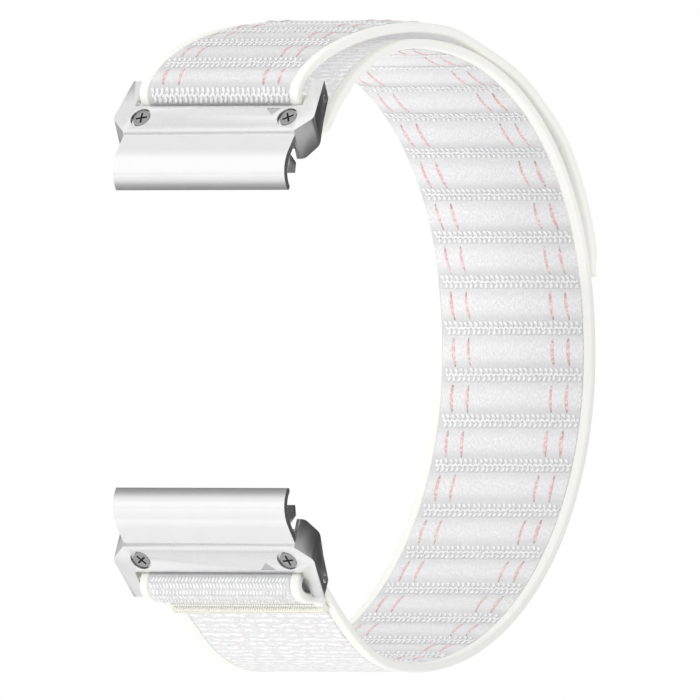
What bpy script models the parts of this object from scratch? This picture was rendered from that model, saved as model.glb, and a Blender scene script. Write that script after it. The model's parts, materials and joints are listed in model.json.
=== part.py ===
"""Woven nylon hook-and-loop watch strap with a quick-release metal adapter at each end.

The strap stands as it does round a wrist: X runs across its width, +Y points to the back of the wrist,
+Z is the strap's upper end, and the origin is the middle of the wrist opening.
"""

import math

import bmesh
import bpy
from mathutils import Vector

MM = 0.001

# The strap's cloth
STRAP_WIDTH = 20.0 * MM
STRAP_THICKNESS = 1.05 * MM
GROUND_THICKNESS = 0.9 * MM
BINDING_WIDTH = 1.1 * MM
BINDING_ROUNDING = 0.2 * MM
RIB_PITCH = 5.05 * MM
RIB_RISE = 0.4 * MM
RIB_SHIFT = 2.6 * MM
SEAM_GAP = 0.1 * MM
FLAT_RUN = 2.4 * MM

# The loop that the strap makes, measured to the middle of its thickness
LOOP_HALF_HEIGHT = 33.5 * MM
LOOP_BACK_DEPTH = 36.6 * MM
LOOP_CENTRE_Y = 1.0 * MM
LOOP_CENTRE_Z = -1.8 * MM
UPPER_FULLNESS_SHARE = 2.18
LOWER_FULLNESS_SHARE = 2.02
UPPER_SHOULDER_PULL = 5.6 * MM
LOWER_SHOULDER_PULL = 11.0 * MM
UPPER_APEX_PULL = 7.2 * MM
LOWER_APEX_PULL = 9.5 * MM

# The free end that folds back outside, how far it stands off the loop, and what holds it down
TAB_GAP = 1.15 * MM
TAB_GAP_PLACE_SHARES = (0.0, 0.19, 0.45, 0.65, 0.85, 0.93, 1.0)
TAB_GAP_LEVEL_SHARES = (0.6, 0.17, 0.55, 1.0, 0.85, 0.7, 0.11)
TAB_TAPER_LENGTH = 2.3 * MM
TAB_TIP_THICKNESS = 0.5 * MM
TAB_LIFT_PULL = 5.6 * MM
TAB_LANDING_PULL = 11.6 * MM
TAB_END_ANGLE = math.radians(12.7)
TAB_LANDING_ANGLE = math.radians(82.0)
PATCH_LENGTH = 19.0 * MM
PATCH_WIDTH = 16.0 * MM
PATCH_THICKNESS = 0.44 * MM
PATCH_FROM_END = 7.0 * MM

# The sewn end at the lower bar
STITCH_WIDTH = 1.5 * MM
STITCH_HEIGHT = 1.2 * MM
STITCH_HALF_WIDTH = 9.45 * MM
SEWN_END_LENGTH = 4.4 * MM
SEWN_GAP = 0.15 * MM
SEWN_PULL = 1.6 * MM

# The adapters: where their bars lie, and how their plates lean
BAR_Y = -21.42 * MM
BAR_Z = 25.6 * MM
PLATE_LEAN = math.radians(38.4)
BAR_DIAMETER = 0.84 * MM
BAR_FIT = 0.04 * MM
BAR_TO_STRAP = 0.05 * MM
BAR_UNDER_FACE = 1.2 * MM
BAR_FROM_TIP = 1.6 * MM
BAR_INSET = 0.06 * MM

# The adapter frame
FRAME_LENGTH = 6.85 * MM
FRONT_HALF_WIDTH = 10.75 * MM
CORNER_HALF_WIDTH = 12.6 * MM
TIP_HALF_WIDTH = 11.95 * MM
CORNER_RUN = 1.7 * MM
CORNER_RADIUS = 0.8 * MM
FRAME_DEPTH_AT_LIP = 3.15 * MM
FRAME_DEPTH_AT_SLOT = 2.2 * MM
EAR_DEPTH = 1.85 * MM
EAR_SHOULDER = 0.7 * MM
EAR_TIP_DEPTH = 0.25 * MM
LIP_DROP = 1.65 * MM
LIP_RADIUS = 0.5 * MM
LIP_SWEEP = math.radians(75.0)
PLATE_THICKNESS = 0.7 * MM
FRONT_EDGE_THICKNESS = 0.45 * MM
FRONT_EDGE_RUN = 0.3 * MM
SLOT_WALL_FROM_BAR = 1.75 * MM
SLOT_WALL_THICKNESS = 0.6 * MM
SLOT_HALF_WIDTH = 10.5 * MM
SLOT_FRONT_ROUNDING = 0.15 * MM
SLOT_BACK_ROUNDING = 0.5 * MM
POCKET_HALF_WIDTH = 10.3 * MM

# The hook that seats in the watch
HOOK_HALF_WIDTH = 10.75 * MM
HOOK_THICKNESS = 0.62 * MM
HOOK_FACE_DEPTH = 0.04 * MM
HOOK_FLAT_LENGTH = 0.2 * MM
HOOK_RADIUS = 4.67 * MM
HOOK_LEAN = math.radians(12.5)
HOOK_SWEEP = math.radians(81.0)
HOOK_TIP_ROUNDING = 0.2 * MM
FLANGE_THICKNESS = 0.35 * MM
FLANGE_OVERLAP = 0.3 * MM
FLANGE_TOP_GAP = 0.12 * MM
FLANGE_NOTCH_HALF_WIDTH = 7.9 * MM
FLANGE_NOTCH_FROM_EDGE = 0.35 * MM

# The latch, its cover and its springs
COVER_THICKNESS = 0.3 * MM
COVER_END_GAP = 1.35 * MM
POST_DIAMETER = 1.7 * MM
NECK_HALF_WIDTH = 7.3 * MM
NECK_THICKNESS = 0.35 * MM
NECK_TOP_FROM_EDGE = 0.45 * MM
NECK_OVERLAP = 0.2 * MM
NOSE_HALF_WIDTH = 9.9 * MM
NOSE_TOP_FROM_LIP = 0.15 * MM
NOSE_FRONT_DROP = 0.4 * MM
NOSE_TOE_DEPTH = 1.8 * MM
NOSE_TOE_DROP = 1.85 * MM
NOSE_HEEL_DEPTH = 2.9 * MM
NOSE_HEEL_DROP = 1.0 * MM
NOSE_BACK_DEPTH = 2.35 * MM
SPRING_DIAMETER = 0.7 * MM
SPRING_BEHIND_NECK_FACE = 0.06 * MM
SPRING_WIRE = 0.16 * MM
SPRING_HALF_SPAN = 4.0 * MM
SPRING_TURNS = 5
SPRING_STEPS = 8

# The screws
SCREW_HALF_SPAN = 9.2 * MM
SCREW_FROM_EDGE = 1.85 * MM
HEAD_DIAMETER = 2.2 * MM
HEAD_HEIGHT = 0.34 * MM
HEAD_RECESS = 0.42 * MM
SHANK_DIAMETER = 0.8 * MM
SHANK_LENGTH = 1.6 * MM

# Clearances, and how far a cutter runs past what it cuts
SEAT_GAP = 0.1 * MM
RUNNING_GAP = 0.1 * MM
CUT_OVERRUN = 1.0 * MM

# How finely the route of the strap and the round pieces are drawn
BEND_STEP = 0.5 * MM
BINDING_STEP = 2.6 * MM
ROUTE_STEP = 0.05 * MM
RIB_STATION_SHARES = (0.0, 0.17, 0.34, 0.5, 0.66, 0.83)
RIB_LEVEL_SHARES = (0.0, 0.0, 0.62, 0.95, 1.0, 0.66)
CROWN_PLACE_SHARES = (1.0, 0.93, 0.6, -0.6, -0.93, -1.0)
CROWN_LEVEL_SHARES = (0.0, 0.72, 1.0, 1.0, 0.72, 0.0)
ROUND_SIDES = 20
BAR_SIDES = 16
CORNER_STEPS = 5
HOOK_STEPS = 10
EDGE_STEPS = 3
BAND_STEPS = 8
LEAST_STEPS = 4
SMOOTH_ANGLE = math.radians(30.0)
CLOTH_SMOOTH_ANGLE = math.radians(50.0)
SAME_POINT = 0.0001 * MM


def clear_scene():
    for item in list(bpy.data.objects):
        bpy.data.objects.remove(item, do_unlink=True)


def material(name, colour, roughness, metallic=0.0):
    """The named material, a Principled BSDF, made once."""
    found = bpy.data.materials.get(name)
    if found:
        return found
    made = bpy.data.materials.new(name)
    made.use_nodes = True
    shader = made.node_tree.nodes["Principled BSDF"]
    shader.inputs["Base Color"].default_value = (*colour, 1.0)
    shader.inputs["Roughness"].default_value = roughness
    shader.inputs["Metallic"].default_value = metallic
    made.diffuse_color = (*colour, 1.0)
    return made


def cloth():
    return material("rib_knit_nylon", (0.84, 0.84, 0.87), 0.75)


def binding_cloth():
    return material("ivory_binding", (0.93, 0.93, 0.88), 0.7)


def stitch_thread():
    return material("cream_thread", (0.86, 0.83, 0.72), 0.65)


def hook_tape():
    return material("hook_tape", (0.8, 0.8, 0.8), 0.6)


def satin_steel():
    return material("satin_steel", (0.78, 0.78, 0.79), 0.32, 1.0)


def bright_steel():
    return material("bright_steel", (0.7, 0.7, 0.71), 0.2, 1.0)


def dark_steel():
    return material("dark_steel", (0.42, 0.42, 0.44), 0.35, 1.0)


def finish_mesh(name, bm, shader, smooth_angle=SMOOTH_ANGLE):
    """The bmesh as a named object with its material, round faces shaded smooth."""
    bmesh.ops.recalc_face_normals(bm, faces=bm.faces)
    mesh = bpy.data.meshes.new(name)
    bm.to_mesh(mesh)
    bm.free()
    mesh.shade_smooth()
    mesh.set_sharp_from_angle(angle=smooth_angle)
    item = bpy.data.objects.new(name, mesh)
    if shader:
        mesh.materials.append(shader)
    bpy.context.scene.collection.objects.link(item)
    return item


def as_cutter(item):
    item.hide_render = True
    item.display_type = "WIRE"
    return item


def combine(item, other, operation):
    """Adds a Boolean of the item with the other, which becomes a hidden guide."""
    as_cutter(other)
    change = item.modifiers.new(operation.lower(), "BOOLEAN")
    change.operation = operation
    change.solver = "EXACT"
    change.object = other
    other.parent = item.parent


def prism(name, outline, half_width, shader=None):
    """The outline, a list of (y, z), swept across X to both sides of the middle."""
    bm = bmesh.new()
    corners = [bm.verts.new((-half_width, y, z)) for y, z in outline]
    face = bm.faces.new(corners)
    swept = bmesh.ops.extrude_face_region(bm, geom=[face])
    moved = [part for part in swept["geom"] if isinstance(part, bmesh.types.BMVert)]
    bmesh.ops.translate(bm, verts=moved, vec=(half_width * 2, 0, 0))
    return finish_mesh(name, bm, shader)


def leaning_prism(name, outline, near_y, far_y, drop):
    """The outline, a list of (x, z), swept from near_y to far_y while it drops along Z."""
    bm = bmesh.new()
    near = [bm.verts.new((x, near_y, z)) for x, z in outline]
    far = [bm.verts.new((x, far_y, z - drop)) for x, z in outline]
    bm.faces.new(near)
    bm.faces.new(far)
    for index, corner in enumerate(near):
        after = (index + 1) % len(near)
        bm.faces.new((corner, near[after], far[after], far[index]))
    return finish_mesh(name, bm, None)


def round_bar(name, sections, place, axis, shader=None, sides=ROUND_SIDES):
    """A turned piece: sections are (distance along the axis, radius), and axis is X or Y."""
    bm = bmesh.new()
    rings = []
    for along, radius in sections:
        ring = []
        for step in range(sides):
            turn = math.tau * step / sides
            across = radius * math.cos(turn)
            up = radius * math.sin(turn)
            if axis == "X":
                offset = Vector((along, across, up))
            else:
                offset = Vector((across, along, up))
            ring.append(bm.verts.new(Vector(place) + offset))
        rings.append(ring)
    for first, second in zip(rings, rings[1:]):
        for step in range(sides):
            after = (step + 1) % sides
            bm.faces.new((first[step], first[after], second[after], second[step]))
    bm.faces.new(rings[0])
    bm.faces.new(rings[-1])
    return finish_mesh(name, bm, shader)


def arc_points(centre, radius, start, end, steps):
    """Points (y, z) on an arc, its angles measured from +Y towards +Z."""
    points = []
    for step in range(steps + 1):
        turn = start + (end - start) * step / steps
        points.append((centre[0] + radius * math.cos(turn), centre[1] + radius * math.sin(turn)))
    return points


def heading(angle):
    return Vector((math.cos(angle), math.sin(angle)))


def curve_points(start, start_angle, start_pull, end, end_angle, end_pull):
    """A smooth curve from start to end that leaves and arrives at the angles given."""
    first = Vector(start)
    last = Vector(end)
    second = first + heading(start_angle) * start_pull
    third = last - heading(end_angle) * end_pull
    steps = max(LEAST_STEPS, int((last - first).length / ROUTE_STEP))
    points = []
    for step in range(steps + 1):
        t = step / steps
        u = 1 - t
        points.append(first * u**3 + second * (3 * u * u * t) + third * (3 * u * t * t) + last * t**3)
    return points


def bend_points(start, start_angle, radius, turn):
    """An arc from start that leaves at start_angle and turns left by turn, or right where it is negative."""
    side = math.copysign(1.0, turn)
    centre = Vector(start) + heading(start_angle + side * math.pi / 2) * radius
    first = start_angle - side * math.pi / 2
    steps = max(LEAST_STEPS, int(abs(turn) * radius / ROUTE_STEP))
    return [Vector(point) for point in arc_points(centre, radius, first, first + turn, steps)]


# The strap passes each slot against the bar, square to the plate.
STRAP_UNDER_BAR = BAR_DIAMETER / 2 + BAR_TO_STRAP + STRAP_THICKNESS / 2
PLATE_UP = Vector((math.sin(PLATE_LEAN), math.cos(PLATE_LEAN)))
PLATE_IN = Vector((math.cos(PLATE_LEAN), -math.sin(PLATE_LEAN)))
PASS_ANGLE = -PLATE_LEAN
FRONT_RUN = 0.75 * MM
FRONT_BEND_RADIUS = 1.2 * MM
UPPER_NOSE_REACH = 3.3 * MM
UPPER_NOSE_RADIUS = 1.9 * MM
UPPER_NOSE_TURN = math.radians(94.0)
LOWER_NOSE_REACH = 0.1 * MM
LOWER_NOSE_RADIUS = 1.6 * MM
LOWER_NOSE_TURN = math.radians(80.0)
UPPER_FRONT_TURN = math.radians(90.0)
LOWER_FRONT_TURN = math.radians(99.0)


def loop_point(angle, offset):
    """A point on the back half of the loop, moved outwards by offset, and the way that it faces."""
    fullness = UPPER_FULLNESS_SHARE if angle > 0 else LOWER_FULLNESS_SHARE
    across = max(math.cos(angle), 0.0)
    up = abs(math.sin(angle))
    side = math.copysign(1.0, angle)
    y = LOOP_BACK_DEPTH * across ** (2 / fullness)
    z = LOOP_HALF_HEIGHT * up ** (2 / fullness) * side
    lean = 2 - 2 / fullness
    normal = Vector((across**lean / LOOP_BACK_DEPTH, side * up**lean / LOOP_HALF_HEIGHT)).normalized()
    return Vector((LOOP_CENTRE_Y + y, LOOP_CENTRE_Z + z)) + normal * offset


def back_half(first_angle, last_angle, offset_at):
    """Points round the back of the loop, where offset_at gives the distance outwards at a share of the way."""
    steps = int(abs(last_angle - first_angle) * LOOP_BACK_DEPTH / ROUTE_STEP)
    points = []
    for step in range(steps + 1):
        share = step / steps
        points.append(loop_point(first_angle + (last_angle - first_angle) * share, offset_at(share)))
    return points


def slot_route(apex_z, nose_reach, nose_radius, nose_turn, shoulder_pull, apex_pull):
    """From the loop's apex forward and down through the nose and the slot to the plate's face."""
    bar = Vector((BAR_Y, BAR_Z))
    middle = bar - PLATE_UP * STRAP_UNDER_BAR
    behind = middle + PLATE_IN * nose_reach
    nose = bend_points(behind, PASS_ANGLE, nose_radius, nose_turn)
    shoulder = curve_points(
        nose[-1],
        PASS_ANGLE + nose_turn,
        shoulder_pull,
        (LOOP_CENTRE_Y, apex_z),
        0.0,
        apex_pull,
    )
    front = middle - PLATE_IN * FRONT_RUN
    run = (behind - front).length
    steps = max(LEAST_STEPS, int(run / ROUTE_STEP))
    straight = [front.lerp(behind, step / steps) for step in range(steps + 1)]
    forward = straight[:-1] + nose[:-1] + shoulder
    return list(reversed(forward))


def front_bend(turn):
    bar = Vector((BAR_Y, BAR_Z))
    front = bar - PLATE_UP * STRAP_UNDER_BAR - PLATE_IN * FRONT_RUN
    return bend_points(front, math.pi + PASS_ANGLE, FRONT_BEND_RADIUS, -turn)


def table_level(places, levels, place, eased):
    """The level at this place between two entries of a share table, straight or eased."""
    for first, second, low, high in zip(places, places[1:], levels, levels[1:]):
        if first <= place <= second:
            share = (place - first) / (second - first)
            if eased:
                share = share * share * (3 - 2 * share)
            return low + (high - low) * share
    return levels[-1]


def tab_gap(share):
    """The gap between the loop and the tab at this share of the way from the landing to the tip."""
    return TAB_GAP * table_level(TAB_GAP_PLACE_SHARES, TAB_GAP_LEVEL_SHARES, share, True)


def tab_route():
    """From the upper front bend back over the loop to the tab's tip."""
    bend = front_bend(UPPER_FRONT_TURN)

    def offset_at(share):
        return STRAP_THICKNESS + tab_gap(share)

    over = back_half(TAB_LANDING_ANGLE, TAB_END_ANGLE, offset_at)
    landing = over[1] - over[0]
    lift = curve_points(
        bend[-1],
        math.pi + PASS_ANGLE - UPPER_FRONT_TURN,
        TAB_LIFT_PULL,
        over[0],
        math.atan2(landing.y, landing.x),
        TAB_LANDING_PULL,
    )
    return bend + lift[1:] + over[1:]


def upper_slot_route():
    return slot_route(
        upper_apex_z(),
        UPPER_NOSE_REACH,
        UPPER_NOSE_RADIUS,
        UPPER_NOSE_TURN,
        UPPER_SHOULDER_PULL,
        UPPER_APEX_PULL,
    )


def lower_slot_route():
    """The lower end's run through its slot, drawn as if at the upper bar."""
    return slot_route(
        -lower_apex_z(),
        LOWER_NOSE_REACH,
        LOWER_NOSE_RADIUS,
        LOWER_NOSE_TURN,
        LOWER_SHOULDER_PULL,
        LOWER_APEX_PULL,
    )


def sewn_end_route():
    """From the lower front bend to the sewn tip, drawn as if at the upper bar."""
    bend = front_bend(LOWER_FRONT_TURN)
    main = lower_slot_route()
    start_angle = math.pi + PASS_ANGLE - LOWER_FRONT_TURN
    reach = bend[-1] + heading(start_angle) * SEWN_END_LENGTH
    nearest = min(range(1, len(main)), key=lambda index: (main[index] - reach).length)
    along = (main[nearest - 1] - main[nearest]).normalized()
    outward = Vector((-along.y, along.x))
    tip = main[nearest] + outward * (STRAP_THICKNESS + SEWN_GAP)
    return bend + curve_points(
        bend[-1], start_angle, SEWN_PULL, tip, math.atan2(along.y, along.x), SEWN_PULL
    )[1:]


def upper_apex_z():
    return LOOP_CENTRE_Z + LOOP_HALF_HEIGHT


def lower_apex_z():
    return LOOP_CENTRE_Z - LOOP_HALF_HEIGHT


def mirrored(points):
    return [Vector((point.x, -point.y)) for point in points]


class Route:
    """The strap's middle line in the YZ plane, read by distance along it."""

    def __init__(self, points):
        self.points = [points[0]]
        self.reach = [0.0]
        for point in points[1:]:
            step = (point - self.points[-1]).length
            if step > SAME_POINT:
                self.points.append(point)
                self.reach.append(self.reach[-1] + step)
        self.length = self.reach[-1]

    def at(self, distance):
        """The point at this distance, and the unit vector along the route there."""
        distance = min(max(distance, 0.0), self.length)
        low = 0
        high = len(self.reach) - 1
        while high - low > 1:
            middle = (low + high) // 2
            if self.reach[middle] <= distance:
                low = middle
            else:
                high = middle
        share = (distance - self.reach[low]) / (self.reach[high] - self.reach[low])
        point = self.points[low].lerp(self.points[high], share)
        before = self.points[max(low - 1, 0)]
        after = self.points[min(high + 1, len(self.points) - 1)]
        return point, (after - before).normalized()


def strap_route():
    """The whole route, from the sewn tip to the tab's tip, and the distances of its main places."""
    sewn = list(reversed(sewn_end_route()))
    lower = list(reversed(lower_slot_route()))
    back = back_half(-math.pi / 2, math.pi / 2, lambda share: 0.0)
    upper = upper_slot_route()
    tab = tab_route()
    start = mirrored(sewn) + mirrored(lower)[1:]
    marks = {}
    marks["lower_bend"] = Route(mirrored(sewn)).length
    marks["lower_apex"] = Route(start).length
    marks["upper_apex"] = Route(start + back[1:]).length
    marks["upper_bend"] = Route(start + back[1:] + upper[1:]).length
    return Route(start + back[1:] + upper[1:] + tab[1:]), marks


def bend_lengths():
    """How far the tight part of each end runs behind the plate's face and in front of it."""
    upper = FRONT_RUN + UPPER_NOSE_REACH + UPPER_NOSE_RADIUS * UPPER_NOSE_TURN
    lower = FRONT_RUN + LOWER_NOSE_REACH + LOWER_NOSE_RADIUS * LOWER_NOSE_TURN
    front = FRONT_BEND_RADIUS * UPPER_FRONT_TURN
    return lower, upper, front


def tight_spans(route, marks):
    """The stretches, as (start, end), where the strap turns round a bar and lies flat."""
    lower, upper, front = bend_lengths()
    return (
        (marks["lower_bend"] - front, marks["lower_bend"] + lower),
        (marks["upper_bend"] - upper, marks["upper_bend"] + front),
    )


def first_rib(marks):
    """The distance at which a rib's groove starts, near the middle of the loop's back."""
    return (marks["lower_apex"] + marks["upper_apex"]) / 2 + RIB_SHIFT


def rib_level(distance, route, marks):
    """How far the rib stands at this distance, as a share of its full rise."""
    phase = ((distance - first_rib(marks)) / RIB_PITCH) % 1.0
    level = table_level((*RIB_STATION_SHARES, 1.0), (*RIB_LEVEL_SHARES, RIB_LEVEL_SHARES[0]), phase, False)
    for start, end in tight_spans(route, marks):
        outside = max(start - distance, distance - end)
        level *= min(1.0, max(0.0, outside / FLAT_RUN))
    from_ends = min(distance, route.length - distance)
    return level * min(1.0, max(0.0, from_ends / FLAT_RUN - 1.0))


def stations(route, marks, ribbed):
    """The distances at which a cross-section is set: close in the bends, and at the ribs' corners."""
    found = [0.0, route.length, route.length - TAB_TAPER_LENGTH]
    for start, end in tight_spans(route, marks):
        start = max(start - FLAT_RUN, 0.0)
        end = min(end + FLAT_RUN, route.length)
        count = math.ceil((end - start) / BEND_STEP)
        found += [start + (end - start) * step / count for step in range(count + 1)]
    tight = list(tight_spans(route, marks))
    if ribbed:
        middle = first_rib(marks)
        first = -math.ceil(middle / RIB_PITCH)
        last = math.ceil((route.length - middle) / RIB_PITCH)
        places = [middle + RIB_PITCH * (rib + share) for rib in range(first, last) for share in RIB_STATION_SHARES]
    else:
        count = math.ceil(route.length / BINDING_STEP)
        places = [route.length * step / count for step in range(count + 1)]
    nearest = BEND_STEP / 2
    for place in places:
        in_bend = any(start - FLAT_RUN < place < end + FLAT_RUN for start, end in tight)
        clear = all(abs(place - other) > nearest for other in found[:3])
        if nearest < place < route.length - nearest and not in_bend and clear:
            found.append(place)
    return sorted(set(found))


def thickness_share(distance, route):
    """The strap thins to its tip over the last stretch of the tab."""
    left = (route.length - distance) / TAB_TAPER_LENGTH
    tip = TAB_TIP_THICKNESS / STRAP_THICKNESS
    return min(1.0, tip + (1.0 - tip) * left)


def strip(name, route, places, section_at, shader):
    """A closed strip: section_at(distance) gives the (x, outwards) corners set across the route."""
    bm = bmesh.new()
    rings = []
    for distance in places:
        point, along = route.at(distance)
        left = Vector((-along.y, along.x))
        ring = []
        for x, rise in section_at(distance):
            spot = point + left * rise
            ring.append(bm.verts.new((x, spot.x, spot.y)))
        rings.append(ring)
    sides = len(rings[0])
    for first, second in zip(rings, rings[1:]):
        for index in range(sides):
            after = (index + 1) % sides
            bm.faces.new((first[index], first[after], second[after], second[index]))
    bm.faces.new(rings[0])
    bm.faces.new(rings[-1])
    return finish_mesh(name, bm, shader, CLOTH_SMOOTH_ANGLE)


def make_webbing(route, marks):
    """One strip of rib-knit nylon, its ribs crowned on the side that faces the wrist."""
    half_width = STRAP_WIDTH / 2 - BINDING_WIDTH - SEAM_GAP

    def section(distance):
        share = thickness_share(distance, route)
        half = GROUND_THICKNESS / 2 * share
        rise = RIB_RISE * rib_level(distance, route, marks)
        corners = [(-half_width, -half), (half_width, -half)]
        for place, level in zip(CROWN_PLACE_SHARES, CROWN_LEVEL_SHARES):
            corners.append((half_width * place, half + rise * level))
        return corners

    return strip("webbing", route, stations(route, marks, True), section, cloth())


def make_binding(name, side, route, marks):
    """The smooth tape that closes one edge of the webbing over its whole length."""
    outer = STRAP_WIDTH / 2
    inner = outer - BINDING_WIDTH

    def section(distance):
        half = STRAP_THICKNESS / 2 * thickness_share(distance, route)
        rounding = min(BINDING_ROUNDING, half)
        corners = [
            (inner, -half + rounding / 2),
            (inner + rounding, -half),
            (outer - rounding, -half),
            (outer, -half + rounding),
            (outer, half - rounding),
            (outer - rounding, half),
            (inner + rounding, half),
            (inner, half - rounding / 2),
        ]
        return [(x * side, rise) for x, rise in corners]

    return strip(name, route, stations(route, marks, False), section, binding_cloth())


def make_hook_patch():
    """The hook tape sewn under the tab's end, which grips the loop's outer face."""
    sweep = TAB_LANDING_ANGLE - TAB_END_ANGLE
    start = TAB_END_ANGLE + PATCH_FROM_END / LOOP_BACK_DEPTH
    end = min(start + PATCH_LENGTH / LOOP_BACK_DEPTH, TAB_LANDING_ANGLE)

    def middle_at(share):
        angle = start + (end - start) * share
        gap = tab_gap((TAB_LANDING_ANGLE - angle) / sweep)
        return STRAP_THICKNESS / 2 + gap - PATCH_THICKNESS / 2 - SEAM_GAP

    line = Route(back_half(start, end, middle_at))
    count = math.ceil(line.length / BINDING_STEP)
    places = [line.length * step / count for step in range(count + 1)]
    half_width = PATCH_WIDTH / 2
    half = PATCH_THICKNESS / 2

    def section(distance):
        return [(-half_width, -half), (half_width, -half), (half_width, half), (-half_width, half)]

    return strip("hook_patch", line, places, section, hook_tape())


def make_fold_stitching(route):
    """The satin stitches that close the sewn end down on the strap, as one rounded band."""
    tip, along = route.at(0.0)
    inward = -along
    up = Vector((-along.y, along.x))
    centre = tip + inward * (STITCH_WIDTH / 2 + SEAM_GAP)
    floor = -STRAP_THICKNESS / 2
    outline = []
    for step in range(BAND_STEPS + 1):
        turn = math.pi * step / BAND_STEPS
        across = STITCH_WIDTH / 2 * math.cos(turn)
        rise = floor + STITCH_HEIGHT * math.sin(turn)
        spot = centre + inward * across + up * rise
        outline.append((spot.x, spot.y))
    return prism("fold_stitching", outline, STITCH_HALF_WIDTH, stitch_thread())


# Places on the adapter in its own frame: the bar's axis is the origin, +Z runs up the plate to the
# strap, and +Y runs from the plate's face towards the wrist.
FACE_Y = -BAR_UNDER_FACE
TIP_Z = BAR_FROM_TIP
EDGE_Z = TIP_Z - FRAME_LENGTH
CEILING_Y = FACE_Y + PLATE_THICKNESS
LIP_Z = EDGE_Z - LIP_DROP
LIP_Y = FACE_Y + FRAME_DEPTH_AT_LIP
SCREW_Z = EDGE_Z + SCREW_FROM_EDGE
SLOT_Z = -SLOT_WALL_FROM_BAR
POCKET_TOP_Z = SLOT_Z - SLOT_WALL_THICKNESS


def back_y(z):
    """The depth of the frame's back face at this height, between the lip and the slot's wall."""
    top_y = FACE_Y + FRAME_DEPTH_AT_SLOT
    return LIP_Y + (top_y - LIP_Y) * (z - LIP_Z) / (POCKET_TOP_Z - LIP_Z)


def wall_z(y):
    """The height of the frame's front wall at this depth."""
    return EDGE_Z - LIP_DROP * (y - FACE_Y) / FRAME_DEPTH_AT_LIP


def frame_profile():
    """The frame's outline seen from its end: flat face, ear tip, bellied ear and rounded lip."""
    lip_centre = (LIP_Y - LIP_RADIUS, LIP_Z + LIP_RADIUS)
    lip = arc_points(lip_centre, LIP_RADIUS, 0.0, -LIP_SWEEP, CORNER_STEPS)
    return [
        (FACE_Y, EDGE_Z),
        (FACE_Y - CUT_OVERRUN, EDGE_Z + SEAT_GAP),
        (FACE_Y - CUT_OVERRUN, TIP_Z),
        (FACE_Y + EAR_TIP_DEPTH, TIP_Z),
        (FACE_Y + EAR_DEPTH, EAR_SHOULDER),
        (FACE_Y + FRAME_DEPTH_AT_SLOT, POCKET_TOP_Z),
        *lip,
        (FACE_Y, LIP_Z - CUT_OVERRUN),
    ]


def frame_plan():
    """The frame's outline seen square to its face, with the chamfered corners rounded."""
    corner_z = EDGE_Z + CORNER_RUN
    chamfer = Vector((FRONT_HALF_WIDTH - CORNER_HALF_WIDTH, EDGE_Z - corner_z)).normalized()
    flank = Vector((TIP_HALF_WIDTH - CORNER_HALF_WIDTH, TIP_Z - corner_z)).normalized()
    corner = Vector((CORNER_HALF_WIDTH, corner_z))
    half_angle = chamfer.angle(flank) / 2
    back_off = CORNER_RADIUS / math.tan(half_angle)
    first = corner + chamfer * back_off
    last = corner + flank * back_off
    rounded = []
    for step in range(CORNER_STEPS + 1):
        t = step / CORNER_STEPS
        rounded.append(first * (1 - t) ** 2 + corner * (2 * t * (1 - t)) + last * t**2)
    right = [Vector((FRONT_HALF_WIDTH, EDGE_Z)), *rounded, Vector((TIP_HALF_WIDTH, TIP_Z))]
    left = [Vector((-point.x, point.y)) for point in reversed(right)]
    return [tuple(point) for point in right + left]


def slot_cutter():
    """The space for the strap, open at the ears' tips, with its wall's edges rounded over."""
    top_y = FACE_Y + FRAME_DEPTH_AT_SLOT
    front = arc_points(
        (FACE_Y + SLOT_FRONT_ROUNDING, SLOT_Z - SLOT_FRONT_ROUNDING),
        SLOT_FRONT_ROUNDING,
        math.pi,
        math.pi / 2,
        EDGE_STEPS,
    )
    back = arc_points(
        (top_y - SLOT_BACK_ROUNDING, SLOT_Z - SLOT_BACK_ROUNDING),
        SLOT_BACK_ROUNDING,
        math.pi / 2,
        0.0,
        CORNER_STEPS,
    )
    outline = [
        (FACE_Y - CUT_OVERRUN, TIP_Z + CUT_OVERRUN),
        (FACE_Y - CUT_OVERRUN, SLOT_Z - SLOT_FRONT_ROUNDING),
        *front,
        *back,
        (top_y + CUT_OVERRUN, SLOT_Z - SLOT_BACK_ROUNDING),
        (top_y + CUT_OVERRUN, TIP_Z + CUT_OVERRUN),
    ]
    return prism("slot_cutter", outline, SLOT_HALF_WIDTH)


def pocket_cutter():
    """The hollow under the plate that takes the hook's flange and the latch."""
    outline = [
        (CEILING_Y, POCKET_TOP_Z),
        (LIP_Y + CUT_OVERRUN, POCKET_TOP_Z),
        (LIP_Y + CUT_OVERRUN, LIP_Z - CUT_OVERRUN),
        (FACE_Y + FRONT_EDGE_THICKNESS, LIP_Z - CUT_OVERRUN),
        (FACE_Y + FRONT_EDGE_THICKNESS, EDGE_Z + FRONT_EDGE_RUN),
        (CEILING_Y, EDGE_Z + FRONT_EDGE_RUN),
    ]
    return prism("pocket_cutter", outline, POCKET_HALF_WIDTH)


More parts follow.
